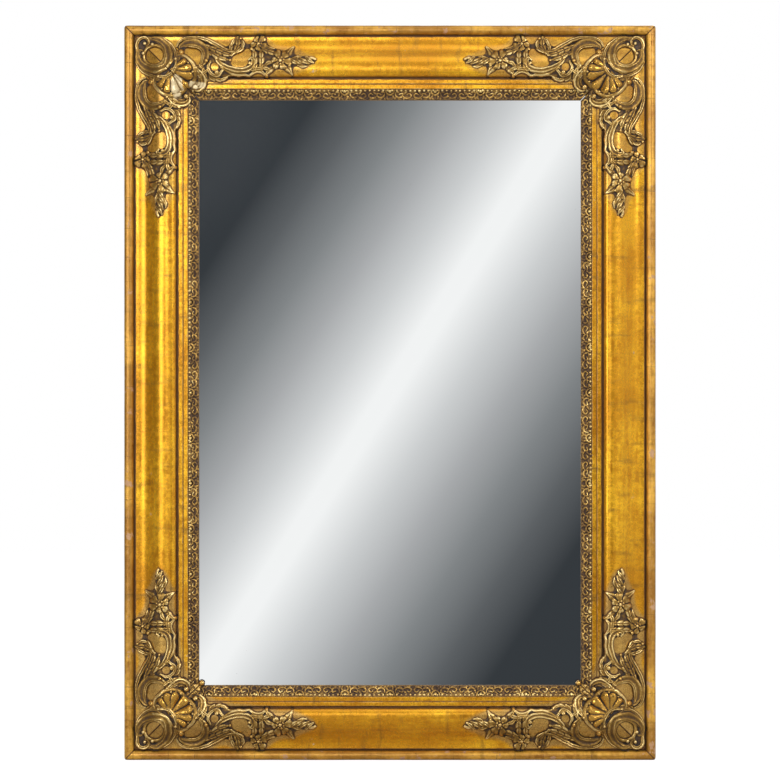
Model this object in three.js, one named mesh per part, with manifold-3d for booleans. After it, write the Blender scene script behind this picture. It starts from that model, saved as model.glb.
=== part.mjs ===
// A gilt pier mirror: four mitred mouldings around one plate of glass, with cast rococo scrolls, shells
// and blossoms at the corners, and two iron rings at the back to hang it by.
// Millimetres, +Z up. The glass faces -Y and the back rails rest against a wall on the +Y side.

import * as THREE from "three";
import { mergeVertices } from "three/addons/utils/BufferGeometryUtils.js";
import Module from "manifold-3d";

const wasm = await Module();
wasm.setup();

// ---------------------------------------------------------------- driving dimensions

const overallWidth = 1010;
const overallHeight = 1396;
const seat = 0.3; // clearance between pieces that rest on each other
const cutReach = 0.5; // how far a cut runs past the face that it opens

// Section of the frame from its outer edge to the glass: the width of each member.
const beadWidth = 18;
const outerGroove = 3;
const listelWidth = 3;
const ogeeWidth = 75.5;
const quirkWidth = 4;
const filletWidth = 8.5;
const innerFilletWidth = 9.5;
const sightWidth = 21;
const sightLip = 2;

// Heights of the same members in front of the wall.
const backRailDepth = 24;
const beadHeight = 46;
const grooveFloor = 35;
const listelHeight = 39;
const crestHeight = 68;
const rollFoot = 56;
const quirkFloor = 51;
const filletHeight = 55;
const innerFilletHeight = 51.5;
const sightOuterHeight = 49.5;
const sightInnerHeight = 43.5;
const crestShare = 0.8; // where the ogee's crest lies across its width
const ogeeSegments = 6;

// Back of the frame.
const backRailWidth = 45;
const backRailInset = 8;
const cornerBlockLeg = 70;
const cornerBlockDepth = 18;
const cornerBlockTip = 5;

// Glass and what holds it.
const glassThickness = 5;
const glassFront = 38;
const glassCover = 9; // how far the sight strip laps over the glass
const glassPlay = 3.5;
const glazingBlockLength = 40;
const glazingBlockWidth = 11;
const glazingBlockToe = 1.5;
const boardThickness = 10;
const boardLap = 14; // how far the backboards lap over the moulding
const boardCount = 3;
const shiplapWidth = 10;

// Hanging hardware.
const hangerHeight = 1050;
const hangerWidth = 20;
const hangerNeck = 13;
const hangerThickness = 2.5;
const screwSpacing = 52;
const screwShank = 2;
const screwHead = 4.5;
const screwHeadRise = 1.8;
const screwLength = 18;
const ringRadius = 20;
const ringWire = 2.5;
const eyeClearance = 0.6;
const eyeWall = 3;
const eyeThickness = 5;
const eyeStandoff = 7.5;

// Castings. Their outlines are drawn on a square grid.
const gridSquare = 1;
const castingRelief = 6;
const shellRelief = 7;
const castingSink = 2; // how far a stroke runs below its seat before the moulding's form is cut from it
const castingSeat = 0.8;
const strokeStep = 18;
const leafStep = 9;
const faceTolerance = 1.3;

// ---------------------------------------------------------------- places worked out from them

const grooveEdge = beadWidth + outerGroove;
const ogeeStart = grooveEdge + listelWidth;
const ogeeEnd = ogeeStart + ogeeWidth;
const crestAt = ogeeStart + crestShare * ogeeWidth;
const quirkEdge = ogeeEnd + quirkWidth;
const filletEdge = quirkEdge + filletWidth;
const innerFilletEdge = filletEdge + innerFilletWidth;
const frameWidth = innerFilletEdge + sightWidth;
const mouldingBack = backRailDepth + seat;
const glassEdge = frameWidth - glassCover;
const rebateWall = glassEdge - glassPlay;
const glassBack = glassFront - glassThickness;
const boardEdge = rebateWall - boardLap;
const hangerInset = (backRailInset + backRailWidth + boardEdge) / 2;
const hangerBack = backRailDepth - hangerThickness;
const eyeHeight = hangerBack - eyeStandoff;

// ---------------------------------------------------------------- materials

function material(color, roughness, metalness) {
  return new THREE.MeshStandardMaterial({ color, roughness, metalness });
}

const giltPanel = () => material(0xcf9a35, 0.32, 0.75);
const giltBead = () => material(0xc79a4e, 0.38, 0.7);
const giltSight = () => material(0x8a6a3c, 0.5, 0.6);
const giltCasting = () => material(0x8f7038, 0.42, 0.7);
const silveredGlass = () => material(0x9fa4a8, 0.04, 1);
const agedPine = () => material(0x9a7448, 0.85, 0);
const forgedIron = () => material(0x3d3a37, 0.6, 0.85);

// ---------------------------------------------------------------- solids

// A closed three.js geometry as a manifold-3d solid.
function solidOf(geometry) {
  const bare = geometry.clone();
  bare.deleteAttribute("normal");
  bare.deleteAttribute("uv");
  const merged = mergeVertices(bare, 1e-4);
  return new wasm.Manifold(
    new wasm.Mesh({
      numProp: 3,
      vertProperties: new Float32Array(merged.attributes.position.array),
      triVerts: new Uint32Array(merged.index.array),
    }),
  );
}

// A manifold-3d solid as a three.js geometry.
function geometryOf(solid) {
  const mesh = solid.getMesh();
  const geometry = new THREE.BufferGeometry();
  geometry.setAttribute("position", new THREE.BufferAttribute(mesh.vertProperties, 3));
  geometry.setIndex(new THREE.BufferAttribute(mesh.triVerts, 1));
  geometry.computeVertexNormals();
  return geometry;
}

function unite(solids) {
  return solids.reduce((sum, solid) => sum.add(solid));
}

function withMirrorImage(solid, normal) {
  return solid.add(solid.mirror(normal));
}

// Moves every vertex of a geometry with a function from (x, y, z) to [x, y, z].
function reshape(geometry, move) {
  const position = geometry.attributes.position;
  for (let i = 0; i < position.count; i++) {
    position.setXYZ(i, ...move(position.getX(i), position.getY(i), position.getZ(i)));
  }
  geometry.computeVertexNormals();
  return geometry;
}

function extrude(shape, depth, curveSegments = 12) {
  return new THREE.ExtrudeGeometry(shape, { depth, steps: 1, bevelEnabled: false, curveSegments });
}

function polygon(corners) {
  return new THREE.Shape(corners.map(([x, y]) => new THREE.Vector2(x, y)));
}

// ---------------------------------------------------------------- the four sides

// Each side is drawn as the bottom one and turned about the middle of the frame. climb says which way
// the side's own length runs: up, down or level.
const sides = [
  { name: "bottom", turn: 0, length: overallWidth, halfSpan: overallHeight / 2, climb: 0 },
  { name: "right", turn: -Math.PI / 2, length: overallHeight, halfSpan: overallWidth / 2, climb: 1 },
  { name: "top", turn: Math.PI, length: overallWidth, halfSpan: overallHeight / 2, climb: 0 },
  { name: "left", turn: Math.PI / 2, length: overallHeight, halfSpan: overallWidth / 2, climb: -1 },
];

// A section drawn as (inwards, forwards) becomes a bar whose ends are mitred at 45 degrees.
function mitredBar(section, side) {
  return reshape(extrude(section, 1, ogeeSegments), (inwards, forwards, end) => {
    const length = side.length - 2 * inwards - seat;
    return [(end - 0.5) * length, -forwards, inwards - side.halfSpan];
  });
}

// The wide panel: hollow next to the listel, then swelling to the crest and rolling over.
function drawOgee(path) {
  const middle = (ogeeStart + crestAt) / 2;
  path.bezierCurveTo(middle, listelHeight, middle, crestHeight, crestAt, crestHeight);
  path.quadraticCurveTo(ogeeEnd, crestHeight, ogeeEnd, rollFoot);
}

function mouldingSection() {
  const section = new THREE.Shape();
  section.moveTo(beadWidth + seat, mouldingBack);
  section.lineTo(beadWidth + seat, grooveFloor);
  section.lineTo(grooveEdge, grooveFloor);
  section.lineTo(grooveEdge, listelHeight);
  section.lineTo(ogeeStart, listelHeight);
  drawOgee(section);
  section.lineTo(ogeeEnd, quirkFloor);
  section.lineTo(quirkEdge, quirkFloor);
  section.lineTo(quirkEdge, filletHeight);
  section.lineTo(filletEdge, filletHeight);
  section.lineTo(filletEdge, innerFilletHeight);
  section.lineTo(innerFilletEdge, innerFilletHeight);
  section.lineTo(innerFilletEdge, glassFront);
  section.lineTo(rebateWall, glassFront);
  section.lineTo(rebateWall, mouldingBack);
  return section;
}

// The side mouldings have pilot holes for the hanger screws.
function moulding(side) {
  const bar = mitredBar(mouldingSection(), side);
  if (side.climb === 0) return bar;
  const depth = screwLength + 2 * seat;
  const holes = screwHeights().map((height) => {
    const radius = screwShank + seat;
    const hole = new THREE.CylinderGeometry(radius, radius, depth + cutReach, 8);
    const along = side.climb * (height - overallHeight / 2);
    hole.translate(along, -mouldingBack - (depth - cutReach) / 2, hangerInset - side.halfSpan);
    return solidOf(hole);
  });
  return geometryOf(solidOf(bar).subtract(unite(holes)));
}

function outerBead(side) {
  const radius = beadWidth / 2;
  const section = new THREE.Shape();
  section.moveTo(0, mouldingBack);
  section.lineTo(0, beadHeight - radius);
  section.absarc(radius, beadHeight - radius, radius, Math.PI, 0, true);
  section.lineTo(beadWidth, mouldingBack);
  return mitredBar(section, side);
}

// A shallow hollow that falls towards the glass and ends in a thin lip over it.
function sightStrip(side) {
  const outer = innerFilletEdge + seat;
  const back = glassFront + seat;
  const hollowEnd = frameWidth - sightLip;
  const section = new THREE.Shape();
  section.moveTo(outer, back);
  section.lineTo(outer, sightOuterHeight);
  section.lineTo(outer + sightLip, sightOuterHeight);
  section.quadraticCurveTo((outer + hollowEnd) / 2, sightInnerHeight, hollowEnd, sightInnerHeight);
  section.lineTo(frameWidth, sightInnerHeight - sightLip);
  section.lineTo(frameWidth, back);
  return mitredBar(section, side);
}

// Back rails are halved at the corners: the level ones lap behind the upright ones.
function backRail(side) {
  const lapsBehind = side.climb === 0;
  const half = side.length / 2 - backRailInset;
  const shoulder = half - backRailWidth - seat;
  const lapped = lapsBehind ? 0 : -backRailDepth;
  const whole = lapsBehind ? -backRailDepth : 0;
  const lap = -backRailDepth / 2 + (lapsBehind ? seat : -seat) / 2;
  const outline = polygon([
    [-half, lapped],
    [half, lapped],
    [half, lap],
    [shoulder, lap],
    [shoulder, whole],
    [-shoulder, whole],
    [-shoulder, lap],
    [-half, lap],
  ]);
  return extrude(outline, backRailWidth).translate(0, 0, backRailInset - side.halfSpan);
}

// A three-cornered softwood block between the rebate's wall and the back of the glass.
function glazingBlock(side, along) {
  const wall = rebateWall + seat;
  const front = glassBack - seat;
  const section = polygon([
    [wall, front],
    [wall + glazingBlockWidth, front],
    [wall + glazingBlockWidth, front - glazingBlockToe],
    [wall, mouldingBack + seat],
  ]);
  return reshape(extrude(section, glazingBlockLength), (inwards, forwards, run) => {
    return [along + run - glazingBlockLength / 2, -forwards, inwards - side.halfSpan];
  });
}

// ---------------------------------------------------------------- glass and backboards

function mirrorPlate() {
  const width = overallWidth - 2 * glassEdge;
  const height = overallHeight - 2 * glassEdge;
  const plate = new THREE.BoxGeometry(width, glassThickness, height);
  return plate.translate(0, -(glassFront + glassBack) / 2, 0);
}

// Upright boards, shiplapped: the front half of each laps over the back half of the next.
function backboard(index) {
  const covered = overallWidth - 2 * boardEdge;
  const left = -covered / 2 + (index * covered) / boardCount;
  const right = left + covered / boardCount;
  const height = overallHeight - 2 * boardEdge;
  const front = -backRailDepth;
  const back = front + boardThickness;
  const middle = (front + back) / 2;
  const lap = shiplapWidth / 2;
  const leftEdge = [
    [left + lap + seat, front],
    [left + lap + seat, middle + seat],
    [left - lap + seat, middle + seat],
    [left - lap + seat, back],
  ];
  const rightEdge = [
    [right - lap, back],
    [right - lap, middle],
    [right + lap, middle],
    [right + lap, front],
  ];
  const plainLeft = [[left, front], [left, back]];
  const plainRight = [[right, back], [right, front]];
  const outline = polygon([
    ...(index === 0 ? plainLeft : leftEdge),
    ...(index === boardCount - 1 ? plainRight : rightEdge),
  ]);
  return extrude(outline, height).translate(0, 0, -height / 2);
}

// ---------------------------------------------------------------- hanging hardware

function screwHeights() {
  return [-1, 1].map((end) => hangerHeight + (end * screwSpacing) / 2);
}

// A forged strap with a round pad at each screw and a standing eye in the middle.
function hangerPlate() {
  const radius = hangerWidth / 2;
  const dip = Math.acos(hangerNeck / hangerWidth);
  const outline = new THREE.Shape();
  outline.absarc(0, screwSpacing / 2, radius, -dip, Math.PI + dip);
  outline.absarc(0, -screwSpacing / 2, radius, Math.PI - dip, 2 * Math.PI + dip);
  outline.holes = [-1, 1].map((end) => {
    return new THREE.Path().absarc(0, (end * screwSpacing) / 2, screwShank + seat, 0, 2 * Math.PI);
  });
  const plate = extrude(outline, hangerThickness, 6).rotateX(Math.PI / 2).translate(0, -hangerBack, 0);
  return geometryOf(solidOf(plate).add(solidOf(hangerEye())));
}

function hangerEye() {
  const bore = ringWire + eyeClearance;
  const radius = bore + eyeWall;
  const root = -hangerThickness / 2;
  const outline = new THREE.Shape();
  outline.moveTo(-radius, root);
  outline.lineTo(radius, root);
  outline.absarc(0, eyeStandoff, radius, 0, Math.PI);
  outline.holes = [new THREE.Path().absarc(0, eyeStandoff, bore, 0, 2 * Math.PI)];
  return reshape(extrude(outline, eyeThickness, 7), (up, out, across) => {
    return [eyeThickness / 2 - across, out - hangerBack, up];
  });
}

// The ring hangs from the eye, its wire passing through the bore.
function hangingRing() {
  const ring = new THREE.TorusGeometry(ringRadius, ringWire, 7, 20);
  return ring.rotateX(Math.PI / 2).translate(0, -eyeHeight, -ringRadius);
}

function hangerScrew() {
  const profile = [
    [0, -screwLength],
    [screwShank / 2, -screwLength],
    [screwShank, -screwLength + 2 * screwShank],
    [screwShank, 0],
    [screwHead, 0],
    [screwHead * 0.8, screwHeadRise * 0.7],
    [0, screwHeadRise],
  ].map(([radius, height]) => new THREE.Vector2(radius, height));
  return new THREE.LatheGeometry(profile, 8).translate(0, seat - hangerBack, 0);
}

// ---------------------------------------------------------------- corner pieces

// Corner pieces are drawn for the bottom left corner: x runs right and z up from the frame's outer
// corner. The other three are its mirror images.
const corners = [
  { name: "bottom_left", x: -1, z: -1 },
  { name: "bottom_right", x: 1, z: -1 },
  { name: "top_left", x: -1, z: 1 },
  { name: "top_right", x: 1, z: 1 },
];

// A glue block across the mitre, in the inner corner of the back rails.
function cornerBlock() {
  const outline = polygon([
    [0, 0],
    [cornerBlockLeg, 0],
    [cornerBlockLeg, cornerBlockTip],
    [cornerBlockTip, cornerBlockLeg],
    [0, cornerBlockLeg],
  ]);
  const corner = backRailInset + backRailWidth + seat;
  return extrude(outline, cornerBlockDepth)
    .rotateX(Math.PI / 2)
    .translate(corner, cornerBlockDepth - backRailDepth, 0)
    .applyMatrix4(new THREE.Matrix4().makeTranslation(0, 0, corner));
}

// ---------------------------------------------------------------- castings

const diagonal = [1, 0, -1]; // normal of the mitre plane, about which a corner's ornament is mirrored

// The form that a casting lies on, as (inwards, forwards) points clear of the moulding.
function bedLine(clearance) {
  const climbing = new THREE.Path();
  climbing.moveTo(beadWidth + clearance, listelHeight);
  climbing.lineTo(ogeeStart, listelHeight);
  drawOgee(climbing);
  const falling = [
    [quirkEdge, filletHeight],
    [filletEdge, filletHeight],
    [filletEdge, innerFilletHeight],
    [innerFilletEdge, innerFilletHeight],
    [innerFilletEdge, sightOuterHeight],
    [innerFilletEdge + sightLip, sightOuterHeight],
    [frameWidth, sightInnerHeight],
    [2 * frameWidth, sightInnerHeight],
  ];
  const points = climbing.getPoints(ogeeSegments).map(({ x, y }) => [x, y]);
  return [...points, ...falling].map(([inwards, forwards]) => {
    return [inwards + (inwards > crestAt ? clearance : 0), forwards + clearance];
  });
}

// One arm of the bed, from the mitre outwards, with a wall along the bead.
function bedArm(clearance) {
  const line = bedLine(clearance);
  const wallTop = crestHeight + 4 * castingRelief;
  const section = polygon([
    [0, 0],
    [0, wallTop],
    [line[0][0], wallTop],
    ...line,
    [2 * frameWidth, 0],
  ]);
  const overlap = 0.01;
  const length = 3 * frameWidth;
  return solidOf(
    reshape(extrude(section, 1), (inwards, forwards, end) => {
      return [inwards - overlap + end * length, -forwards, inwards];
    }),
  );
}

// The bed clear of the moulding by a given distance, mitred at the corner.
function bed(clearance) {
  return withMirrorImage(bedArm(clearance), diagonal);
}

// A casting cut to the moulding's form and rid of slivers. The second cut trims what the loss of
// slivers moved.
function seated(casting) {
  const cut = casting.subtract(bed(castingSeat));
  return cut.asOriginal().simplify(faceTolerance).subtract(bed(seat));
}

function heightOn(line, inwards) {
  const next = line.findIndex(([edge]) => edge > inwards);
  if (next === 0) return line[0][1];
  if (next < 0) return line[line.length - 1][1];
  const [fromEdge, fromHeight] = line[next - 1];
  const [toEdge, toHeight] = line[next];
  return fromHeight + ((toHeight - fromHeight) * (inwards - fromEdge)) / (toEdge - fromEdge);
}

// A line without the points that lie below a straight bridge between their neighbours.
function bridged(line) {
  const low = line.findIndex(([inwards, forwards], i) => {
    const isInside = i > 0 && i + 1 < line.length;
    return isInside && heightOn([line[i - 1], line[i + 1]], inwards) >= forwards;
  });
  return low < 0 ? line : bridged(line.filter((_, i) => i !== low));
}

// The heights that castings are drawn on: they follow the panel up to its crest and from there bridge
// the quirk and the steps of the fillets.
function drapeLine() {
  const line = bedLine(castingSeat).filter(([inwards]) => inwards <= frameWidth + castingSeat);
  const crest = line.findIndex(([inwards]) => inwards >= crestAt);
  return [...line.slice(0, crest), ...bridged(line.slice(crest))];
}

const drape = drapeLine();

// A point on a casting: a and b are grid squares along the two beads from their inner corner, rise is
// its height above the moulding.
function onMoulding(a, b, rise) {
  const [x, z] = [a, b].map((squares) => beadWidth + squares * gridSquare);
  return [x, -heightOn(drape, Math.min(x, z)) - rise, z];
}

// Rings of points, each with as many as the next, closed at both ends with a fan about a centre.
function skin(rings, startCentre, endCentre) {
  const count = rings[0].length;
  const positions = [...rings.flat(), startCentre, endCentre].flat();
  const start = rings.length * count;
  const faces = [];
  for (let j = 0; j < count; j++) {
    const k = (j + 1) % count;
    for (let i = 0; i + 1 < rings.length; i++) {
      const here = i * count;
      const there = here + count;
      faces.push(here + j, here + k, there + j, here + k, there + k, there + j);
    }
    const last = (rings.length - 1) * count;
    faces.push(start, k, j, start + 1, last + j, last + k);
  }
  const geometry = new THREE.BufferGeometry();
  geometry.setAttribute("position", new THREE.Float32BufferAttribute(positions, 3));
  geometry.setIndex(faces);
  return solidOf(geometry);
}

// Value at share t of the way through a list of values that are evenly spaced.
function along(values, t) {
  const place = t * (values.length - 1);
  const index = Math.min(Math.floor(place), values.length - 2);
  return THREE.MathUtils.lerp(values[index], values[index + 1], place - index);
}

// Across the top of a stroke: ribs with grooves between them, or one keel along the middle.
function strokeSection(ribs) {
  if (ribs === 0) return [[0, 1]];
  const shoulder = 0.35;
  const groove = 0.6;
  const top = [];
  for (let j = 0; j <= 2 * ribs; j++) {
    const isEnd = j === 0 || j === 2 * ribs;
    const rise = j % 2 === 1 ? 1 : isEnd ? shoulder : groove;
    top.push([j / ribs - 1, rise]);
  }
  return top;
}

// A raised stroke that follows a curve through its points: a scroll, stem, leaf or lobe, according to
// its widths and ribs.
function stroke(points, widths, ribs = 1, relief = castingRelief) {
  const curve = new THREE.CatmullRomCurve3(points.map(([a, b]) => new THREE.Vector3(a, 0, b)));
  const step = ribs === 0 ? leafStep : strokeStep;
  const steps = Math.max(2, Math.round((curve.getLength() * gridSquare) / step));
  const section = strokeSection(ribs);
  const endFade = 0.7;
  const rings = [];
  const centres = [];
  for (let i = 0; i <= steps; i++) {
    const centre = curve.getPointAt(i / steps);
    const ahead = curve.getTangentAt(i / steps);
    const half = along(widths, i / steps) / 2;
    const fade = i === 0 || i === steps ? endFade : 1;
    const place = (across, rise) => {
      return onMoulding(centre.x + ahead.z * across * half, centre.z - ahead.x * across * half, rise);
    };
    const top = section.map(([across, rise]) => place(across, rise * relief * fade));
    rings.push([...top, place(1, -castingSink), place(-1, -castingSink)]);
    centres.push(place(0, 0));
  }
  return skin(rings, centres[0], centres[steps]);
}

// A leaf is a stroke with a keel: its sides fall straight from the middle to the moulding.
function leaf(points, widths) {
  const foot = (castingRelief + castingSink) / castingRelief; // it is measured where it meets the moulding
  return stroke(points, widths.map((width) => width * foot), 0);
}

// A round bead on a casting.
function pearl([a, b], squares) {
  const radius = squares * gridSquare;
  const [x, y, z] = onMoulding(a, b, castingRelief - radius);
  return solidOf(new THREE.SphereGeometry(radius, 6, 4).rotateX(Math.PI / 2).translate(x, y, z));
}

// An open flower: petals round a raised eye.
function blossom([a, b], radius, petals) {
  const samples = 2;
  const turns = petals * samples;
  const hoops = [
    { share: 0.3, rise: 0.9, notch: 1 },
    { share: 0.75, rise: 1.3, notch: 0.95 },
    { share: 1, rise: 0.5, notch: 0.78 },
  ];
  const hoop = ({ share, notch }, rise) => {
    return Array.from({ length: turns }, (_, i) => {
      const angle = (-i / turns) * 2 * Math.PI;
      const out = radius * share * (i % samples === 0 ? notch : 1);
      const dip = i % samples === 0 && notch < 1 ? 0.7 : 1;
      return onMoulding(a + out * Math.cos(angle), b + out * Math.sin(angle), rise * dip);
    });
  };
  const rings = hoops.map((each) => hoop(each, each.rise * castingRelief));
  rings.push(hoop(hoops[hoops.length - 1], -castingSink));
  const eye = onMoulding(a, b, 1.5 * castingRelief);
  return skin(rings, eye, onMoulding(a, b, -castingSink));
}

// The half of a cartouche on one side of the mitre: ring scroll, shell, rim and leaf curl.
const shellCentre = [69, 69];

function polar([a, b], radius, degrees) {
  const angle = THREE.MathUtils.degToRad(degrees);
  return [a + radius * Math.cos(angle), b + radius * Math.sin(angle)];
}

function ringScroll() {
  return unite([
    stroke(
      [[32, 17], [32, 10], [38, 6], [46, 9], [53, 16], [59, 26], [63, 38], [63, 50], [57, 62], [47, 73]],
      [4, 6, 9, 13, 15, 15, 14, 12],
      2,
    ),
    pearl([34, 18], 3.2),
    leaf([[48, 77], [61, 77], [74, 71]], [6, 7, 7]),
  ]);
}

function cornerVolute() {
  const run = [[11, 38], [7, 24], [8, 12], [16, 6], [24, 13]];
  return unite([stroke(run, [9, 7, 6, 5, 4]), pearl([19, 15], 4)]);
}

// Shell lobes fan out from the middle of the corner; the angles are measured from the mitre.
function shellLobe(degrees, length, width) {
  const widths = [0.35, 0.6, 0.85, 1, 0.8, 0.15].map((share) => share * width);
  const run = [0.1, 0.55, 1].map((share) => polar(shellCentre, share * length, 45 + degrees));
  return stroke(run, widths, 1, shellRelief);
}

function shellSide() {
  return unite([shellLobe(-25, 45, 13), shellLobe(-49, 42, 11), shellLobe(-74, 34, 9)]);
}

function shellRim() {
  const run = [[99, 106], [110, 95], [116, 84], [116, 73], [113, 63], [106, 54], [97, 49], [87, 48]];
  return stroke(run, [8, 8, 9, 9, 8, 7, 5], 2);
}

function leafCurl() {
  const run = [[112, 66], [121, 74], [129, 83], [131, 93], [127, 101], [120, 105]];
  return unite([stroke(run, [6, 8, 9, 8, 6, 4]), pearl([117, 102], 5)]);
}

function tipLeaf() {
  const run = [[100, 100], [110, 110], [120, 120], [128, 128]];
  return unite([stroke(run, [8, 13, 11, 6], 2), pearl([128, 128], 4.5)]);
}

// Plan of a cartouche on one side of the mitre. The sprays butt against this line.
const castingJoint = [
  [-9, -9],
  [76, -9],
  [77, 18],
  [80, 34],
  [84, 43],
  [99, 43],
  [111, 51],
  [119, 61],
  [124, 68],
  [131, 76],
  [135, 86],
  [136, 136],
];

function jointPrism(shift) {
  const outline = polygon(
    castingJoint.map(([a, b]) => [beadWidth + a * gridSquare + shift, beadWidth + b * gridSquare - shift]),
  );
  const depth = 2 * crestHeight;
  return solidOf(extrude(outline, depth).rotateX(Math.PI / 2));
}

function cartouche(hasTipLeaf) {
  const half = unite([ringScroll(), shellSide(), shellRim(), leafCurl()]);
  const middle = [shellLobe(0, 48, 13), cornerVolute()];
  if (hasTipLeaf) middle.push(tipLeaf());
  const plan = withMirrorImage(jointPrism(0), diagonal);
  return seated(withMirrorImage(half, diagonal).add(unite(middle))).intersect(plan);
}

// The C-scroll that frames an open window at the root of a spray.
function armScroll() {
  const run = [[91, 35], [89, 27], [95, 18], [105, 12], [117, 11], [129, 15], [138, 24], [141, 36]];
  return unite([
    stroke([...run, [138, 47], [132, 56], [126, 62]], [6, 9, 14, 17, 18, 19, 19, 17, 13, 8, 5], 2),
    pearl([95, 36], 4.5),
  ]);
}

// The acanthus leaf that grows out of the scroll and curls over at its tip.
function acanthus() {
  return unite([
    stroke([[132, 13], [148, 16], [163, 26], [178, 33], [190, 32]], [12, 16, 19, 18, 10], 2),
    stroke([[187, 31], [200, 27], [203, 14], [195, 7], [192, 15]], [8, 7, 7, 5, 4]),
    leaf([[165, 31], [178, 41], [190, 48]], [10, 13, 4]),
  ]);
}

function stemArc() {
  return unite([
    stroke(
      [[146, 32], [155, 43], [163, 55], [174, 64], [188, 70], [204, 71], [218, 67], [227, 59], [229, 50]],
      [9, 8, 7, 8, 10, 11, 12, 12, 8],
    ),
    leaf([[150, 38], [160, 60], [157, 90]], [7, 12, 9]),
    leaf([[156, 46], [168, 66], [177, 91]], [7, 13, 9]),
  ]);
}

function pendant() {
  return unite([
    leaf([[127, 58], [135, 67], [140, 77], [142, 89]], [6, 9, 9, 4]),
    leaf([[138, 78], [145, 73], [152, 66]], [7, 8, 5]),
  ]);
}

// Long leaves that rise from the end of the stem to the first blossom.
function risingLeaves() {
  return unite([
    leaf([[229, 64], [226, 46], [230, 28]], [9, 11, 8]),
    leaf([[238, 68], [236, 50], [243, 28]], [10, 12, 9]),
    leaf([[222, 76], [237, 69], [252, 70], [258, 80]], [4, 9, 9, 4]),
    leaf([[240, 34], [257, 36], [277, 46]], [10, 11, 9]),
  ]);
}

// Pointed leaves around the second blossom, and the tail that ends the spray.
function tail() {
  return unite([
    leaf([[286, 42], [298, 33], [307, 25]], [9, 9, 2]),
    leaf([[285, 60], [296, 68], [307, 77]], [10, 10, 3]),
    leaf([[274, 62], [268, 72], [270, 81]], [8, 10, 4]),
    leaf([[294, 54], [313, 58], [332, 52], [354, 41]], [13, 14, 9, 2]),
    leaf([[320, 57], [326, 47], [330, 39]], [8, 8, 3]),
  ]);
}

function spray() {
  const blossoms = [blossom([240, 19], 16, 5), blossom([282, 51], 20, 5)];
  const parts = [armScroll(), acanthus(), stemArc(), pendant(), risingLeaves(), ...blossoms, tail()];
  return seated(unite(parts)).subtract(jointPrism(castingSeat));
}

// ---------------------------------------------------------------- assembly

const mirror = new THREE.Group();
const frame = new THREE.Group();
frame.position.z = overallHeight / 2;
mirror.add(frame);

function addMesh(group, name, geometry, finish) {
  const mesh = new THREE.Mesh(geometry, finish);
  mesh.name = name;
  group.add(mesh);
  return mesh;
}

let blockNumber = 0;
for (const side of sides) {
  const group = new THREE.Group();
  group.rotation.y = side.turn;
  frame.add(group);
  addMesh(group, `moulding_${side.name}`, moulding(side), giltPanel());
  addMesh(group, `outer_bead_${side.name}`, outerBead(side), giltBead());
  addMesh(group, `sight_strip_${side.name}`, sightStrip(side), giltSight());
  addMesh(group, `back_rail_${side.name}`, backRail(side), agedPine());
  for (const end of [-1, 1]) {
    blockNumber += 1;
    const block = glazingBlock(side, (end * (side.length - 2 * glassEdge)) / 4);
    addMesh(group, `glazing_block_${blockNumber}`, block, agedPine());
  }
}

addMesh(frame, "mirror_plate", mirrorPlate(), silveredGlass());
for (let i = 0; i < boardCount; i++) {
  addMesh(frame, `backboard_${i + 1}`, backboard(i), agedPine());
}

const levelSpray = spray();
const uprightSpray = levelSpray.mirror(diagonal);
const plainCartouche = cartouche(false);
const pointedCartouche = cartouche(true);

for (const corner of corners) {
  const group = new THREE.Group();
  group.position.set((corner.x * overallWidth) / 2, 0, (corner.z * overallHeight) / 2);
  group.scale.set(-corner.x, 1, -corner.z);
  frame.add(group);
  const casting = corner.z < 0 ? pointedCartouche : plainCartouche;
  addMesh(group, `cartouche_${corner.name}`, geometryOf(casting), giltCasting());
  addMesh(group, `spray_${corner.name}_level`, geometryOf(levelSpray), giltCasting());
  addMesh(group, `spray_${corner.name}_upright`, geometryOf(uprightSpray), giltCasting());
  addMesh(group, `corner_block_${corner.name}`, cornerBlock(), agedPine());
}

for (const [name, x] of [["left", -1], ["right", 1]]) {
  const hanger = new THREE.Group();
  hanger.position.set(x * (overallWidth / 2 - hangerInset), 0, hangerHeight);
  mirror.add(hanger);
  addMesh(hanger, `hanger_plate_${name}`, hangerPlate(), forgedIron());
  addMesh(hanger, `hanging_ring_${name}`, hangingRing(), forgedIron());
  screwHeights().forEach((height, i) => {
    const screw = addMesh(hanger, `hanger_screw_${name}_${i + 1}`, hangerScrew(), forgedIron());
    screw.position.z = height - hangerHeight;
  });
}

// The origin is under the middle of the mirror's depth.
const bounds = new THREE.Box3().setFromObject(mirror, true);
mirror.position.y = -(bounds.min.y + bounds.max.y) / 2;

export default mirror;
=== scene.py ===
import math

import bmesh
import bpy
import numpy as np
from mathutils import Matrix, Vector

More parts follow.
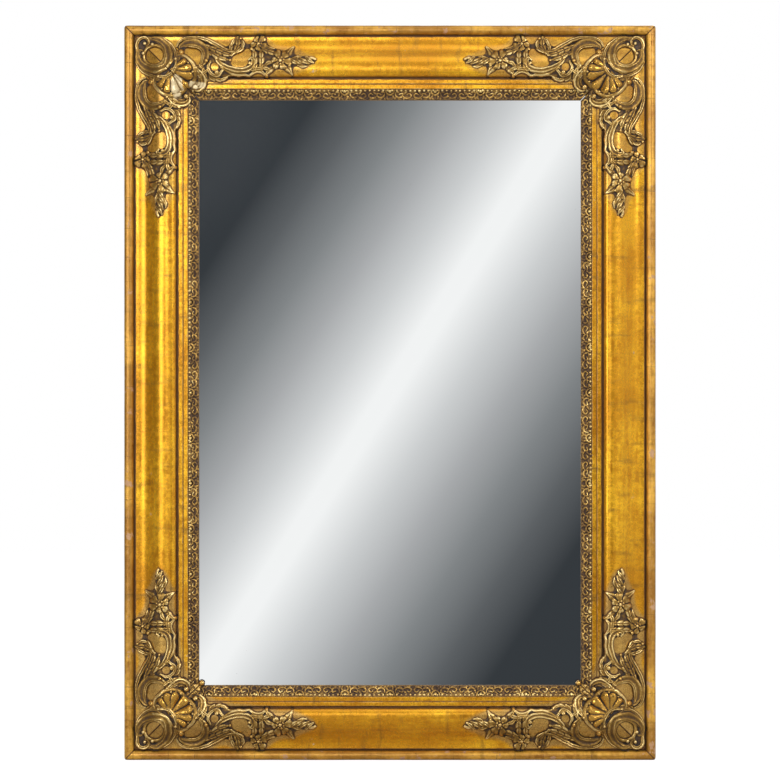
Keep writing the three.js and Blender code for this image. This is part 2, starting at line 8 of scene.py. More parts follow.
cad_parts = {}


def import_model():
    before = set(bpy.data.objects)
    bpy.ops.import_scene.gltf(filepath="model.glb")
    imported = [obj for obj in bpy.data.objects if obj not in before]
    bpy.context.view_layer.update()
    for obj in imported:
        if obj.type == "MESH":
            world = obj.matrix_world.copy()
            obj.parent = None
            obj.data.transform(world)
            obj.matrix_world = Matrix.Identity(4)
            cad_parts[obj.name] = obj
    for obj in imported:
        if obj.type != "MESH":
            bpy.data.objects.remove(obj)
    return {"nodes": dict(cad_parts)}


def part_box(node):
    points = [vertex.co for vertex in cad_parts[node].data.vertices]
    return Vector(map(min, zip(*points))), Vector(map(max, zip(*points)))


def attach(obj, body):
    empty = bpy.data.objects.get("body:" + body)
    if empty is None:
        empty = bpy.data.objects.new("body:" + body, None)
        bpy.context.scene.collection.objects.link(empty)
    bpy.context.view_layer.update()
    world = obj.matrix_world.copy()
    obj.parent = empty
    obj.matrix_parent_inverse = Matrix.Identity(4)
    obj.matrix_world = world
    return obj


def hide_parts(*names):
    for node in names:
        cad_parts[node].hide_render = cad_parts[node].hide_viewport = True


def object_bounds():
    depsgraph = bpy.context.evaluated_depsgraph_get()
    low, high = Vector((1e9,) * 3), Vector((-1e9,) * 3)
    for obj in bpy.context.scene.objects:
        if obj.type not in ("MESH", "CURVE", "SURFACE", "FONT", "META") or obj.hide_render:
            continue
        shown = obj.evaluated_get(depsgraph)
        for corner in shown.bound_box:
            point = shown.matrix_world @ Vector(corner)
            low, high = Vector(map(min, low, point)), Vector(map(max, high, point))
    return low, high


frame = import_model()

bl_info = {
    "name": "Pier mirror",
    "version": (1, 0, 0),
    "blender": (4, 5, 0),
    "location": "3D View > Sidebar > Pier mirror",
    "description": "Gilt mouldings, cast rococo corner ornaments and silvered glass of a pier mirror",
    "category": "Object",
}

# ---------------------------------------------------------------- sizes that come from the frame

MM = 0.001
CAD_LOW, CAD_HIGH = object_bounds()
WIDTH = (CAD_HIGH.x - CAD_LOW.x) / MM
HEIGHT = (CAD_HIGH.z - CAD_LOW.z) / MM
WALL = CAD_HIGH.y / MM

# Section of the frame in millimetres, (inwards from the outer edge, forwards from the wall).
BEAD = 18.0
GROOVE_EDGE = 21.0
OGEE_START = 24.0
CREST = (84.4, 68.0)
OGEE_END = (99.5, 56.0)
QUIRK = (103.5, 51.0)
FILLET = (112.0, 55.0)
INNER_FILLET = (121.5, 51.5)
SIGHT_EDGE = 142.5
SIGHT_OUTER = 49.5
SIGHT_INNER = 43.5
REBATE = 130.0
MOULDING_BACK = 24.3
GLASS_FRONT = 38.0
GROOVE_FLOOR = 35.0
LISTEL = 39.0
BEAD_TOP = 46.0
CORNER_ROUND = 6.0

SIDES = {
    "bottom": (0.0, WIDTH, HEIGHT / 2),
    "right": (-math.pi / 2, HEIGHT, WIDTH / 2),
    "top": (math.pi, WIDTH, HEIGHT / 2),
    "left": (math.pi / 2, HEIGHT, WIDTH / 2),
}
CORNERS = {
    "bottom_left": (-1, -1),
    "bottom_right": (1, -1),
    "top_left": (-1, 1),
    "top_right": (1, 1),
}

# How dark the painted shade and the old varnish lie in the grooves and at the steps across the section: a
# share of 1 at each distance inwards.
RECESS_SHADE_AT = [0, 17.5, 18.3, 21.2, 23.5, 95.5, 99.3, 103.6, 105, 111.2, 112, 113, 120.7, 121.5, 122.5]
RECESS_SHADE = [0, 0, 1, 1, 0, 0, 0.55, 0.95, 0, 0, 0.6, 0, 0, 0.6, 0]

# How wide the joint stands open where two mouldings meet, and the room that a piece has in its seat.
MITRE_GAP = {"bottom": 1.6, "left": 1.4, "top": 1.1, "right": 0.9}
BEAD_GAP = 0.25
SEAT_GAP = 0.3

# The castings as modelled stand this high; the setting for their relief is measured against it.
FULL_RELIEF = 0.0066
# Where the cartouche at the top left has lost its leaf: middles and half sizes in its own plan.
LOST_LEAF = ((84, 99, 11, 23), (121, 97, 17, 7))
# Fall of a stroke's flank past its outline, and how steeply the iron must turn to read as an edge.
FLANK = 2.6
SHARP_IRON = math.radians(35)
# How bright the pearls stand on the strips' carved tone, which runs from painted shade to painted highlight:
# 0 is the ground, 1 a top.
PEARL_TONE = 0.86

# The camera stands level with the photograph's middle. Its picture is 780 pixels wide.
PHOTO_WIDTH = 780
MM_PER_PIXEL = 1.9006
CAMERA_DISTANCE = 7.0
CAMERA_RAISE = 0.0043

# The graded card's light band runs through the middle of the glass, and the card darkens within its reach.
CARD_SLOPE = (0.841, 0.0, -0.542)
CARD_MIDDLE = CARD_SLOPE[2] * 0.7023
CARD_REACH = 0.7


def linear(colour):
    """An sRGB hex colour as linear red, green, blue and alpha."""
    parts = [int(colour[i:i + 2], 16) / 255 for i in (1, 3, 5)]
    return [c / 12.92 if c <= 0.04045 else ((c + 0.055) / 1.055) ** 2.4 for c in parts] + [1.0]


# ---------------------------------------------------------------- settings


class MirrorShape(bpy.types.PropertyGroup):
    relief: bpy.props.FloatProperty(
        name="Relief", description="Height of the castings above the moulding",
        default=FULL_RELIEF, min=0.001, unit="LENGTH")
    grain: bpy.props.FloatProperty(
        name="Carving step", description="Spacing of the points that the castings are carved on",
        default=0.0008, min=0.0004, unit="LENGTH")
    sight_repeat: bpy.props.FloatProperty(
        name="Sight repeat", description="Length of one repeat of the pattern beside the glass",
        default=0.086, min=0.02, unit="LENGTH")
    pearl_spacing: bpy.props.FloatProperty(
        name="Pearl spacing", description="Distance between the pearls beside the glass",
        default=0.0086, min=0.003, unit="LENGTH")
    brad_spacing: bpy.props.FloatProperty(
        name="Brad spacing", description="Distance between the brads that hold the backboards",
        default=0.145, min=0.02, unit="LENGTH")


class MirrorFinish(bpy.types.PropertyGroup):
    leaf: bpy.props.FloatVectorProperty(
        name="Leaf", description="Colour of the burnished leaf on the mouldings",
        default=linear("#eab020"), size=4, min=0.0, max=1.0, subtype="COLOR")
    leaf_deep: bpy.props.FloatVectorProperty(
        name="Leaf, deep", description="Colour of the same leaf where it is thin over the bole",
        default=linear("#bd7d06"), size=4, min=0.0, max=1.0, subtype="COLOR")
    bead_leaf: bpy.props.FloatVectorProperty(
        name="Bead leaf", description="Colour of the leaf on the outer beads",
        default=linear("#e2ad42"), size=4, min=0.0, max=1.0, subtype="COLOR")
    bead_deep: bpy.props.FloatVectorProperty(
        name="Bead leaf, deep", description="Colour of that leaf where hands have thinned it",
        default=linear("#96641c"), size=4, min=0.0, max=1.0, subtype="COLOR")
    crack_spacing: bpy.props.FloatProperty(
        name="Crack spacing", description="Usual distance between cracks across the mouldings",
        default=0.062, min=0.005, unit="LENGTH")
    # On the beads, wear also sets the pale painted highlight along the tops.
    wear: bpy.props.FloatProperty(
        name="Wear", description="How far the leaf is rubbed through on the edges",
        default=0.55, min=0.0, max=1.0, subtype="FACTOR")
    # Grime also sets how dark the painted shade in the hollows and round the castings is.
    grime_and_shade_amount: bpy.props.FloatProperty(
        name="Grime", description="How much old varnish and dust lies in the hollows",
        default=0.9, min=0.0, max=1.0, subtype="FACTOR")


# ---------------------------------------------------------------- small helpers


def add(tree, kind, inputs=None, **settings):
    """Adds a node, sets what it says about itself, and sets or links its inputs. A node among the inputs
    stands for the output that it has in use."""
    node = tree.nodes.new(kind)
    for name, value in settings.items():
        setattr(node, name, value)
    for key, value in (inputs or {}).items():
        if isinstance(value, bpy.types.Node):
            value = next(socket for socket in value.outputs if socket.enabled)
        if isinstance(value, bpy.types.NodeSocket):
            tree.links.new(value, node.inputs[key])
        else:
            node.inputs[key].default_value = value
    return node


def per(size):
    """The scale that gives a pattern features of a size in millimetres, on coordinates in metres."""
    return 1 / (size * MM)


def noise_field(x, y, size, seed):
    """Smooth random values from -1 to 1 with bumps of the given size, the same on each run."""
    cells = 128
    table = np.random.default_rng(seed).uniform(-1, 1, (cells, cells))
    gx, gy = np.asarray(x) / size, np.asarray(y) / size
    ix, iy = np.floor(gx).astype(int), np.floor(gy).astype(int)
    fx, fy = gx - ix, gy - iy
    fx, fy = fx * fx * (3 - 2 * fx), fy * fy * (3 - 2 * fy)
    corner = lambda dx, dy: table[(ix + dx) % cells, (iy + dy) % cells]
    near = corner(0, 0) * (1 - fx) + corner(1, 0) * fx
    far = corner(0, 1) * (1 - fx) + corner(1, 1) * fx
    return near * (1 - fy) + far * fy


def blurred(grid, radius):
    """A grid smoothed by three passes of a running mean over 2 * radius + 1 cells."""
    width = 2 * radius + 1
    for _ in range(3):
        for axis in (0, 1):
            margin = [(radius + 1, radius) if a == axis else (0, 0) for a in (0, 1)]
            total = np.cumsum(np.pad(grid, margin, "edge"), axis=axis)
            high = np.take(total, range(width, total.shape[axis]), axis=axis)
            low = np.take(total, range(0, total.shape[axis] - width), axis=axis)
            grid = (high - low) / width
    return grid


def placed(name, data):
    """A new object at the origin, linked to the scene."""
    obj = bpy.data.objects.new(name, data)
    bpy.context.scene.collection.objects.link(obj)
    return obj


def reworked(source, into=None, doubles=0.0, level=0.0, holes=False):
    """Merges doubles, melts faces that lie within level degrees of each other, fills holes and turns all
    faces outwards."""
    work = bmesh.new()
    work.from_mesh(source)
    if doubles:
        bmesh.ops.remove_doubles(work, verts=work.verts, dist=doubles)
    if level:
        bmesh.ops.dissolve_limit(work, angle_limit=math.radians(level), verts=work.verts, edges=work.edges)
    if holes:
        bmesh.ops.holes_fill(work, edges=[e for e in work.edges if e.is_boundary], sides=0)
    bmesh.ops.recalc_face_normals(work, faces=work.faces)
    work.to_mesh(into or source)
    work.free()


def piece(name, points, faces, material, layers=None, run=None, flip=False):
    """A smooth mesh object from points in millimetres, with its point values and its UV map."""
    mesh = bpy.data.meshes.new(name)
    points = np.asarray(points, float) * MM
    faces = np.asarray(faces)
    if flip:
        faces = faces[:, ::-1]
    mesh.vertices.add(len(points))
    mesh.vertices.foreach_set("co", points.astype(np.float32).ravel())
    corners = faces.shape[1]
    mesh.loops.add(faces.size)
    mesh.loops.foreach_set("vertex_index", faces.astype(np.int32).ravel())
    mesh.polygons.add(len(faces))
    mesh.polygons.foreach_set("loop_start", np.arange(0, faces.size, corners, dtype=np.int32))
    mesh.update(calc_edges=True)
    mesh.validate()
    mesh.shade_smooth()
    for layer, values in (layers or {}).items():
        attribute = mesh.attributes.new(layer, "FLOAT", "POINT")
        attribute.data.foreach_set("value", np.asarray(values, np.float32).ravel())
    if run is not None:
        uv = mesh.uv_layers.new(name="Run")
        loops = np.zeros(len(mesh.loops), np.int32)
        mesh.loops.foreach_get("vertex_index", loops)
        uv.data.foreach_set("uv", np.asarray(run, np.float32)[loops].ravel())
    mesh.materials.append(material)
    obj = placed(name, mesh)
    return obj


def dress(obj, body, *nodes):
    """Lets a finished piece ride on a body and stand for its CAD nodes."""
    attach(obj, body)
    if nodes:
        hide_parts(*nodes)
    return obj


def baked(obj, name):
    """The evaluated object as a new plain mesh object; the old one is removed."""
    graph = bpy.context.evaluated_depsgraph_get()
    mesh = bpy.data.meshes.new_from_object(obj.evaluated_get(graph), depsgraph=graph)
    bpy.data.objects.remove(obj)
    mesh.name = name
    return placed(name, mesh)


# ---------------------------------------------------------------- materials


def new_material(name):
    """An empty material and its node tree."""
    material = bpy.data.materials.new(name)
    material.use_nodes = True
    tree = material.node_tree
    tree.nodes.clear()
    return material, tree


def gilt(name, light, deep, worn, roughness, metallic, crack_size, crack_tone, chips):
    """Leaf over bole and gesso. Water-gilt leaf is a true metal film; lap lines, rubbed edges that show
    the clay under it, hair cracks in the gesso and toned size in the hollows make it look old. The
    hollows and a rim round the castings also get painted shade."""
    finish = bpy.context.scene.mirror_finish
    material, tree = new_material(name)
    place = add(tree, "ShaderNodeTexCoord").outputs["Object"]
    run = add(tree, "ShaderNodeUVMap", uv_map="Run").outputs["UV"]
    split = add(tree, "ShaderNodeSeparateXYZ", {0: run})
    patch = add(tree, "ShaderNodeTexNoise", {"Vector": place, "Scale": per(55), "Detail": 4.0,
                                             "Roughness": 0.6})
    fine = add(tree, "ShaderNodeTexNoise", {"Vector": place, "Scale": per(9), "Detail": 5.0,
                                            "Roughness": 0.7})
    # Lap lines of the leaf run along the moulding: streaks about 125 mm long and 7 mm wide.
    streak_at = add(tree, "ShaderNodeMapping", {"Vector": run, "Scale": (8.0, 140.0, 1.0)})
    streak = add(tree, "ShaderNodeTexNoise", {"Vector": streak_at, "Scale": 1.0, "Detail": 3.0})
    mottle = add(tree, "ShaderNodeMath", {0: patch, 1: fine}, operation="ADD")
    mottle = add(tree, "ShaderNodeMath", {0: mottle, 1: streak}, operation="ADD")
    mottle = add(tree, "ShaderNodeMapRange", {0: mottle, 1: 1.22, 2: 1.72})
    cloud = add(tree, "ShaderNodeTexNoise", {"Vector": place, "Scale": per(210), "Detail": 2.0})
    cloud = add(tree, "ShaderNodeMapRange", {0: cloud, 1: 0.4, 2: 0.58, 3: 0.25, 4: 1.0})
    mottle = add(tree, "ShaderNodeMath", {0: mottle, 1: cloud}, operation="MULTIPLY")
    leaf = add(tree, "ShaderNodeMix", {0: mottle, 6: deep, 7: light}, data_type="RGBA")

    # Short flecks along the run, 8 by 2 mm, where the plane left the gesso thin, and hair cracks across it,
    # drawn so wide that they show, fading over 0.8 mm to each side.
    fleck_at = add(tree, "ShaderNodeMapping", {"Vector": run, "Scale": (130.0, 520.0, 1.0)})
    fleck = add(tree, "ShaderNodeTexNoise", {"Vector": fleck_at, "Scale": 1.0, "Detail": 3.0,
                                             "Roughness": 0.6})
    fleck = add(tree, "ShaderNodeMapRange", {0: fleck, 1: 0.63, 2: 0.7})
    shift = add(tree, "ShaderNodeMath", {0: fine, 1: 0.12}, operation="MULTIPLY")
    across = add(tree, "ShaderNodeMath", {0: split, 1: 1 / crack_size, 2: shift}, operation="MULTIPLY_ADD")
    split_line = add(tree, "ShaderNodeTexVoronoi", {"W": across, "Scale": 1.0},
                     voronoi_dimensions="1D", feature="DISTANCE_TO_EDGE")
    split_line = add(tree, "ShaderNodeMapRange",
                     {0: split_line, 1: 0.0, 2: 0.0008 / crack_size, 3: 1.0, 4: 0.0})
    some = add(tree, "ShaderNodeMapRange", {0: patch, 1: 0.42, 2: 0.62, 4: 0.75})
    broken = add(tree, "ShaderNodeMapRange", {0: fine, 1: 0.42, 2: 0.55, 4: crack_tone})
    fleck = add(tree, "ShaderNodeMath", {0: fleck, 1: some}, operation="MULTIPLY")
    long = add(tree, "ShaderNodeMath", {0: split_line, 1: broken}, operation="MULTIPLY")
    cracks = add(tree, "ShaderNodeMath", {0: fleck, 1: long}, operation="MAXIMUM")

    # Where the wood moved, brown varnish has run into the broken gesso in bars across the moulding, 20 mm
    # wide and 110 mm long.
    stain_at = add(tree, "ShaderNodeMapping", {"Vector": run, "Scale": (48.0, 9.0, 1.0)})
    stain = add(tree, "ShaderNodeTexNoise", {"Vector": stain_at, "Scale": 1.0, "Detail": 4.0,
                                             "Roughness": 0.62})
    stain = add(tree, "ShaderNodeMapRange", {0: stain, 1: 0.56, 2: 0.7, 4: 0.75})
    leaf = add(tree, "ShaderNodeMix", {0: stain, 6: leaf, 7: linear("#86601f")}, data_type="RGBA")

    # Rubbed edges show the clay, and where that has gone too, the pale gesso.
    arris = add(tree, "ShaderNodeAttribute", attribute_name="arris").outputs["Fac"]
    rubbed = add(tree, "ShaderNodeMath", {0: arris, 1: finish.wear}, operation="MULTIPLY")
    rubbed = add(tree, "ShaderNodeMath", {0: rubbed, 1: fine}, operation="MULTIPLY")
    rubbed = add(tree, "ShaderNodeMapRange", {0: rubbed, 1: 0.2, 2: 0.36})
    chip = add(tree, "ShaderNodeTexNoise", {"Vector": place, "Scale": per(17), "Detail": 3.0,
                                            "Roughness": 0.6})
    chip = add(tree, "ShaderNodeMix", {0: 0.4, 2: chip, 3: patch}, data_type="FLOAT")
    chip = add(tree, "ShaderNodeMapRange", {0: chip, 1: chips, 2: chips + 0.02})
    rubbed = add(tree, "ShaderNodeMath", {0: rubbed, 1: chip}, operation="MAXIMUM")
    under = add(tree, "ShaderNodeMix", {0: patch, 6: linear("#7d3f22"), 7: linear(worn)}, data_type="RGBA")
    colour = add(tree, "ShaderNodeMix", {0: rubbed, 6: leaf, 7: under}, data_type="RGBA")

    # The ground that the castings enclose was toned with them.
    toned = add(tree, "ShaderNodeAttribute", attribute_name="toned").outputs["Fac"]
    bronze = add(tree, "ShaderNodeMix", {0: fine, 6: linear("#755323"), 7: linear("#cda964")},
                 data_type="RGBA")
    wash = add(tree, "ShaderNodeMath", {0: toned, 1: 0.78}, operation="MULTIPLY")
    colour = add(tree, "ShaderNodeMix", {0: wash, 6: colour, 7: bronze}, data_type="RGBA")

    # Painted shade darkens the hollows and a rim round the castings, together with the toned size, wax and
    # dust that lie there.
    hollow = add(tree, "ShaderNodeAttribute", attribute_name="hollow").outputs["Fac"]
    grime_and_shade = add(tree, "ShaderNodeMath", {0: fine, 1: 0.5, 2: hollow}, operation="MULTIPLY_ADD")
    grime_and_shade = add(tree, "ShaderNodeMapRange", {0: grime_and_shade, 1: 0.5, 2: 1.0, 4: finish.grime_and_shade_amount})
    grime_and_shade = add(tree, "ShaderNodeMath", {0: grime_and_shade, 1: cracks}, operation="MAXIMUM")
    colour = add(tree, "ShaderNodeMix", {0: grime_and_shade, 6: colour, 7: linear("#4a2503")}, data_type="RGBA")

    # The backs were never gilded: sawn pine, brown with age.
    bare = add(tree, "ShaderNodeAttribute", attribute_name="bare").outputs["Fac"]
    wood = add(tree, "ShaderNodeMix", {0: streak, 6: linear("#5f4327"), 7: linear("#9a7347")},
               data_type="RGBA")
    colour = add(tree, "ShaderNodeMix", {0: bare, 6: colour, 7: wood}, data_type="RGBA")

    dull = add(tree, "ShaderNodeMath", {0: grime_and_shade, 1: rubbed}, operation="MAXIMUM")
    metal = add(tree, "ShaderNodeMapRange", {0: dull, 3: metallic, 4: 0.3})
    metal = add(tree, "ShaderNodeMapRange", {0: bare, 3: metal, 4: 0.0})
    dull = add(tree, "ShaderNodeMath", {0: dull, 1: bare}, operation="MAXIMUM")
    rough = add(tree, "ShaderNodeMapRange", {0: fine, 1: 0.3, 2: 0.7, 3: roughness - 0.08,
                                             4: roughness + 0.08})
    rough = add(tree, "ShaderNodeMath", {0: dull, 1: 0.35, 2: rough}, operation="MULTIPLY_ADD")
    height = add(tree, "ShaderNodeMath", {0: cracks, 1: -1.0, 2: fine}, operation="MULTIPLY_ADD")
    bump = add(tree, "ShaderNodeBump", {"Height": height, "Strength": 0.35, "Distance": 0.0004})
    shader = add(tree, "ShaderNodeBsdfPrincipled",
                 {"Base Color": colour, "Metallic": metal, "Roughness": rough,
                  "Normal": bump, "Coat Weight": 0.04, "Coat Roughness": 0.25})
    add(tree, "ShaderNodeOutputMaterial", {0: shader})
    return material


def set_stops(ramp, stops):
    """Gives a colour ramp, which starts with two stops, its places and colours."""
    for index, (at, colour) in enumerate(stops):
        stop = ramp.color_ramp.elements[index] if index < 2 else ramp.color_ramp.elements.new(at)
        stop.position = at
        stop.color = linear(colour)


def toned_leaf(name, patch_size, grain_size, uneven, stops):
    """How both toned finishes start: the tone that was carved into the mesh, made a little uneven,
    picks the colour between the brown in the ground and the leaf on the tops. That tone is painted
    shade in the ground and a painted highlight on the tops."""
    material, tree = new_material(name)
    place = add(tree, "ShaderNodeTexCoord").outputs["Object"]
    patch = add(tree, "ShaderNodeTexNoise", {"Vector": place, "Scale": per(patch_size), "Detail": 3.0})
    fine = add(tree, "ShaderNodeTexNoise", {"Vector": place, "Scale": per(grain_size), "Detail": 4.0,
                                            "Roughness": 0.7})
    tone = add(tree, "ShaderNodeAttribute", attribute_name="tone").outputs["Fac"]
    wander = add(tree, "ShaderNodeMath", {0: fine, 1: patch}, operation="ADD")
    wander = add(tree, "ShaderNodeMapRange", {0: wander, 1: 0.6, 2: 1.4, 3: -uneven, 4: uneven})
    level = add(tree, "ShaderNodeMath", {0: tone, 1: wander}, operation="ADD")
    ramp = add(tree, "ShaderNodeValToRGB", {0: level})
    set_stops(ramp, stops)
    return material, tree, fine, level, ramp


def cast_gilt():
    """Pressed composition with toned bronze-gold leaf. The carved tone paints highlights on the tops and
    shade in the ground, where umber size also lies; the shells are burnished."""
    finish = bpy.context.scene.mirror_finish
    # The ramp runs from painted shade in the crevices to a painted highlight on the tops.
    material, tree, fine, level, ramp = toned_leaf(
        "Toned gilt composition", 40, 4, 0.16,
        [(0.12, "#1f0f03"), (0.3, "#472e10"), (0.48, "#775826"), (0.66, "#a07b39"), (0.88, "#e9cc8a")])
    burnish = add(tree, "ShaderNodeAttribute", attribute_name="burnish").outputs["Fac"]
    bright = add(tree, "ShaderNodeMapRange", {0: level, 1: 0.3, 2: 0.62})
    shine = add(tree, "ShaderNodeMath", {0: burnish, 1: bright}, operation="MULTIPLY")
    colour = add(tree, "ShaderNodeMix", {0: shine, 6: ramp, 7: linear("#bd8f3c")}, data_type="RGBA")
    # Where the leaf and the bole are gone, the chalk of the composition shows, darker in the ground and paler
    # on the tops as painted shade and highlight.
    gesso = add(tree, "ShaderNodeAttribute", attribute_name="gesso").outputs["Fac"]
    chalk = add(tree, "ShaderNodeMix", {0: level, 6: linear("#7d6232"), 7: linear("#f6e2b4")},
                data_type="RGBA")
    colour = add(tree, "ShaderNodeMix", {0: gesso, 6: colour, 7: chalk}, data_type="RGBA")
    metal = add(tree, "ShaderNodeMapRange", {0: level, 1: 0.2, 2: 0.5, 3: 0.1, 4: 0.85})
    metal = add(tree, "ShaderNodeMapRange", {0: gesso, 3: metal, 4: 0.15})
    grime_and_shade = add(tree, "ShaderNodeMapRange", {0: level, 1: 0.2, 2: 0.75, 3: 0.7, 4: 0.29})
    rough = add(tree, "ShaderNodeMath", {0: shine, 1: -0.2, 2: grime_and_shade}, operation="MULTIPLY_ADD")
    bump = add(tree, "ShaderNodeBump", {"Height": fine, "Strength": 0.3 * finish.grime_and_shade_amount, "Distance": 0.0005})
    shader = add(tree, "ShaderNodeBsdfPrincipled",
                 {"Base Color": colour, "Metallic": metal, "Roughness": rough,
                  "Normal": bump, "Coat Weight": 0.1, "Coat Roughness": 0.3})
    add(tree, "ShaderNodeOutputMaterial", {0: shader})
    return material


def sight_gilt():
    """Pressed running leaf: painted highlights of gold on the tops, and painted shade with brown size in the
    ground.
    """
    material, tree, fine, level, ramp = toned_leaf(
        "Pressed gilt leaf pattern", 30, 3, 0.2,
        [(0.15, "#331d0a"), (0.36, "#5a3e1d"), (0.55, "#8a6a36"), (0.75, "#bd9550"), (0.95, "#f3da94")])
    metal = add(tree, "ShaderNodeMapRange", {0: level, 1: 0.25, 2: 0.6, 3: 0.15, 4: 0.8})
    rough = add(tree, "ShaderNodeMapRange", {0: level, 1: 0.25, 2: 0.7, 3: 0.65, 4: 0.38})
    bump = add(tree, "ShaderNodeBump", {"Height": fine, "Strength": 0.3, "Distance": 0.0003})
    shader = add(tree, "ShaderNodeBsdfPrincipled",
                 {"Base Color": ramp, "Metallic": metal, "Roughness": rough, "Normal": bump})
    add(tree, "ShaderNodeOutputMaterial", {0: shader})
    return material


def silvered_glass():
    """Flat old plate silvered on its back: a clean mirror with a cool cast."""
    material, tree = new_material("Silvered plate glass")
    place = add(tree, "ShaderNodeTexCoord").outputs["Object"]
    spots = add(tree, "ShaderNodeTexNoise", {"Vector": place, "Scale": per(6), "Detail": 2.0})
    spots = add(tree, "ShaderNodeMapRange", {0: spots, 1: 0.75, 2: 0.8, 3: 0.0, 4: 0.25})
    colour = add(tree, "ShaderNodeMix", {0: spots, 6: linear("#f8fafa"), 7: linear("#8b8578")},
                 data_type="RGBA")
    shader = add(tree, "ShaderNodeBsdfPrincipled", {"Base Color": colour, "Metallic": 1.0,
                                                    "Roughness": 0.012})
    add(tree, "ShaderNodeOutputMaterial", {0: shader})
    return material


def old_pine(name, along, cut):
    """Sawn softwood, darkened by a century of dust: growth rings as long streaks and saw marks."""
    material, tree = new_material(name)
    place = add(tree, "ShaderNodeTexCoord").outputs["Object"]
    stretch = [per(16)] * 3
    stretch["XYZ".index(along)] = per(400)
    at = add(tree, "ShaderNodeMapping", {"Vector": place, "Scale": stretch,
                                         "Location": (cut * 7.3, cut * 3.1, cut)})
    grain = add(tree, "ShaderNodeTexNoise", {"Vector": at, "Scale": 1.0, "Detail": 6.0,
                                             "Roughness": 0.65, "Distortion": 0.6})
    rings = add(tree, "ShaderNodeMath", {0: grain, 1: 9.0}, operation="MULTIPLY")
    rings = add(tree, "ShaderNodeMath", {0: rings}, operation="FRACT")
    patch = add(tree, "ShaderNodeTexNoise", {"Vector": place, "Scale": per(180), "Detail": 3.0})
    light, deep = (("#b08858", "#84603a"), ("#9c7648", "#74512f"), ("#a67d4c", "#6c4a2a"))[cut % 3]
    ramp = add(tree, "ShaderNodeMix", {0: rings, 6: linear(light), 7: linear(deep)}, data_type="RGBA")
    dark = add(tree, "ShaderNodeMapRange", {0: patch, 1: 0.35, 2: 0.75, 3: 0.0, 4: 0.7})
    colour = add(tree, "ShaderNodeMix", {0: dark, 6: ramp, 7: linear("#5b3f24")}, data_type="RGBA")
    saw = add(tree, "ShaderNodeTexWave", {"Vector": place, "Scale": per(20), "Distortion": 2.0,
                                          "Detail": 2.0}, bands_direction=along)
    height = add(tree, "ShaderNodeMath", {0: saw.outputs["Fac"], 1: 0.4, 2: grain},
                 operation="MULTIPLY_ADD")
    bump = add(tree, "ShaderNodeBump", {"Height": height, "Strength": 0.4, "Distance": 0.0006})
    shader = add(tree, "ShaderNodeBsdfPrincipled", {"Base Color": colour, "Roughness": 0.82,
                                                    "Normal": bump})
    add(tree, "ShaderNodeOutputMaterial", {0: shader})
    return material


def forged_iron():
    """Forge-scaled iron: dark oxide, brown rust in patches, hammer facets."""
    material, tree = new_material("Forged iron")
    place = add(tree, "ShaderNodeTexCoord").outputs["Object"]
    scale = add(tree, "ShaderNodeTexNoise", {"Vector": place, "Scale": per(3), "Detail": 5.0,
                                             "Roughness": 0.7})
    patch = add(tree, "ShaderNodeTexNoise", {"Vector": place, "Scale": per(12), "Detail": 3.0})
    rust = add(tree, "ShaderNodeMapRange", {0: patch, 1: 0.48, 2: 0.62})
    colour = add(tree, "ShaderNodeMix", {0: rust, 6: linear("#3a3634"), 7: linear("#5e3a24")},
                 data_type="RGBA")
    metal = add(tree, "ShaderNodeMapRange", {0: rust, 3: 0.9, 4: 0.2})
    rough = add(tree, "ShaderNodeMapRange", {0: rust, 3: 0.45, 4: 0.8})
    bump = add(tree, "ShaderNodeBump", {"Height": scale, "Strength": 0.5, "Distance": 0.0004})
    shader = add(tree, "ShaderNodeBsdfPrincipled",
                 {"Base Color": colour, "Metallic": metal, "Roughness": rough, "Normal": bump})
    add(tree, "ShaderNodeOutputMaterial", {0: shader})
    return material


# ---------------------------------------------------------------- the frame's section


def ogee_line():
    """The panel's curve: hollow beside the listel, swelling to its crest, then rolled over."""
    t = np.linspace(0, 1, 80)
    s = 1 - t
    middle = (OGEE_START + CREST[0]) / 2
    rise_x = OGEE_START * s ** 3 + middle * (3 * s ** 2 * t + 3 * s * t ** 2) + CREST[0] * t ** 3
    rise_y = LISTEL * (s ** 3 + 3 * s ** 2 * t) + CREST[1] * (3 * s * t ** 2 + t ** 3)
    roll_x = CREST[0] * s ** 2 + OGEE_END[0] * (2 * s * t + t ** 2)
    roll_y = CREST[1] * (s ** 2 + 2 * s * t) + OGEE_END[1] * t ** 2
    return np.concatenate([rise_x, roll_x[1:]]), np.concatenate([rise_y, roll_y[1:]])


OGEE_X, OGEE_Y = ogee_line()
# The front in steps: an upright edge is drawn over a hair's breadth.
HAIR = 0.01
STEPS_X = [BEAD, OGEE_START - HAIR, *OGEE_X, OGEE_END[0] + HAIR, QUIRK[0], QUIRK[0] + HAIR, FILLET[0],
           FILLET[0] + HAIR, INNER_FILLET[0], INNER_FILLET[0] + HAIR, INNER_FILLET[0] + 2, SIGHT_EDGE]
STEPS_Y = [LISTEL, LISTEL, *OGEE_Y, QUIRK[1], QUIRK[1], FILLET[1], FILLET[1],
           INNER_FILLET[1], INNER_FILLET[1], SIGHT_OUTER, SIGHT_OUTER, SIGHT_INNER]


def surface(inwards):
    """Height of the mouldings' front at a distance inwards from the outer edge."""
    return np.interp(inwards, STEPS_X, STEPS_Y)


def drape(inwards):
    """What a casting lies on: the panel, then straight over the quirk and the steps of the fillets."""
    rising = OGEE_X <= CREST[0]
    past_crest = ((90, 67.3), (96, 64.6), (102, 60.6), (108, 57.6), (114, 55.3), (INNER_FILLET[0], 52.3),
                  (132, 48.2), (SIGHT_EDGE, 44.2))
    xs = [BEAD, OGEE_START, *OGEE_X[rising], *[x for x, _ in past_crest]]
    ys = [LISTEL, LISTEL, *OGEE_Y[rising], *[y for _, y in past_crest]]
    return np.interp(inwards, xs, ys)


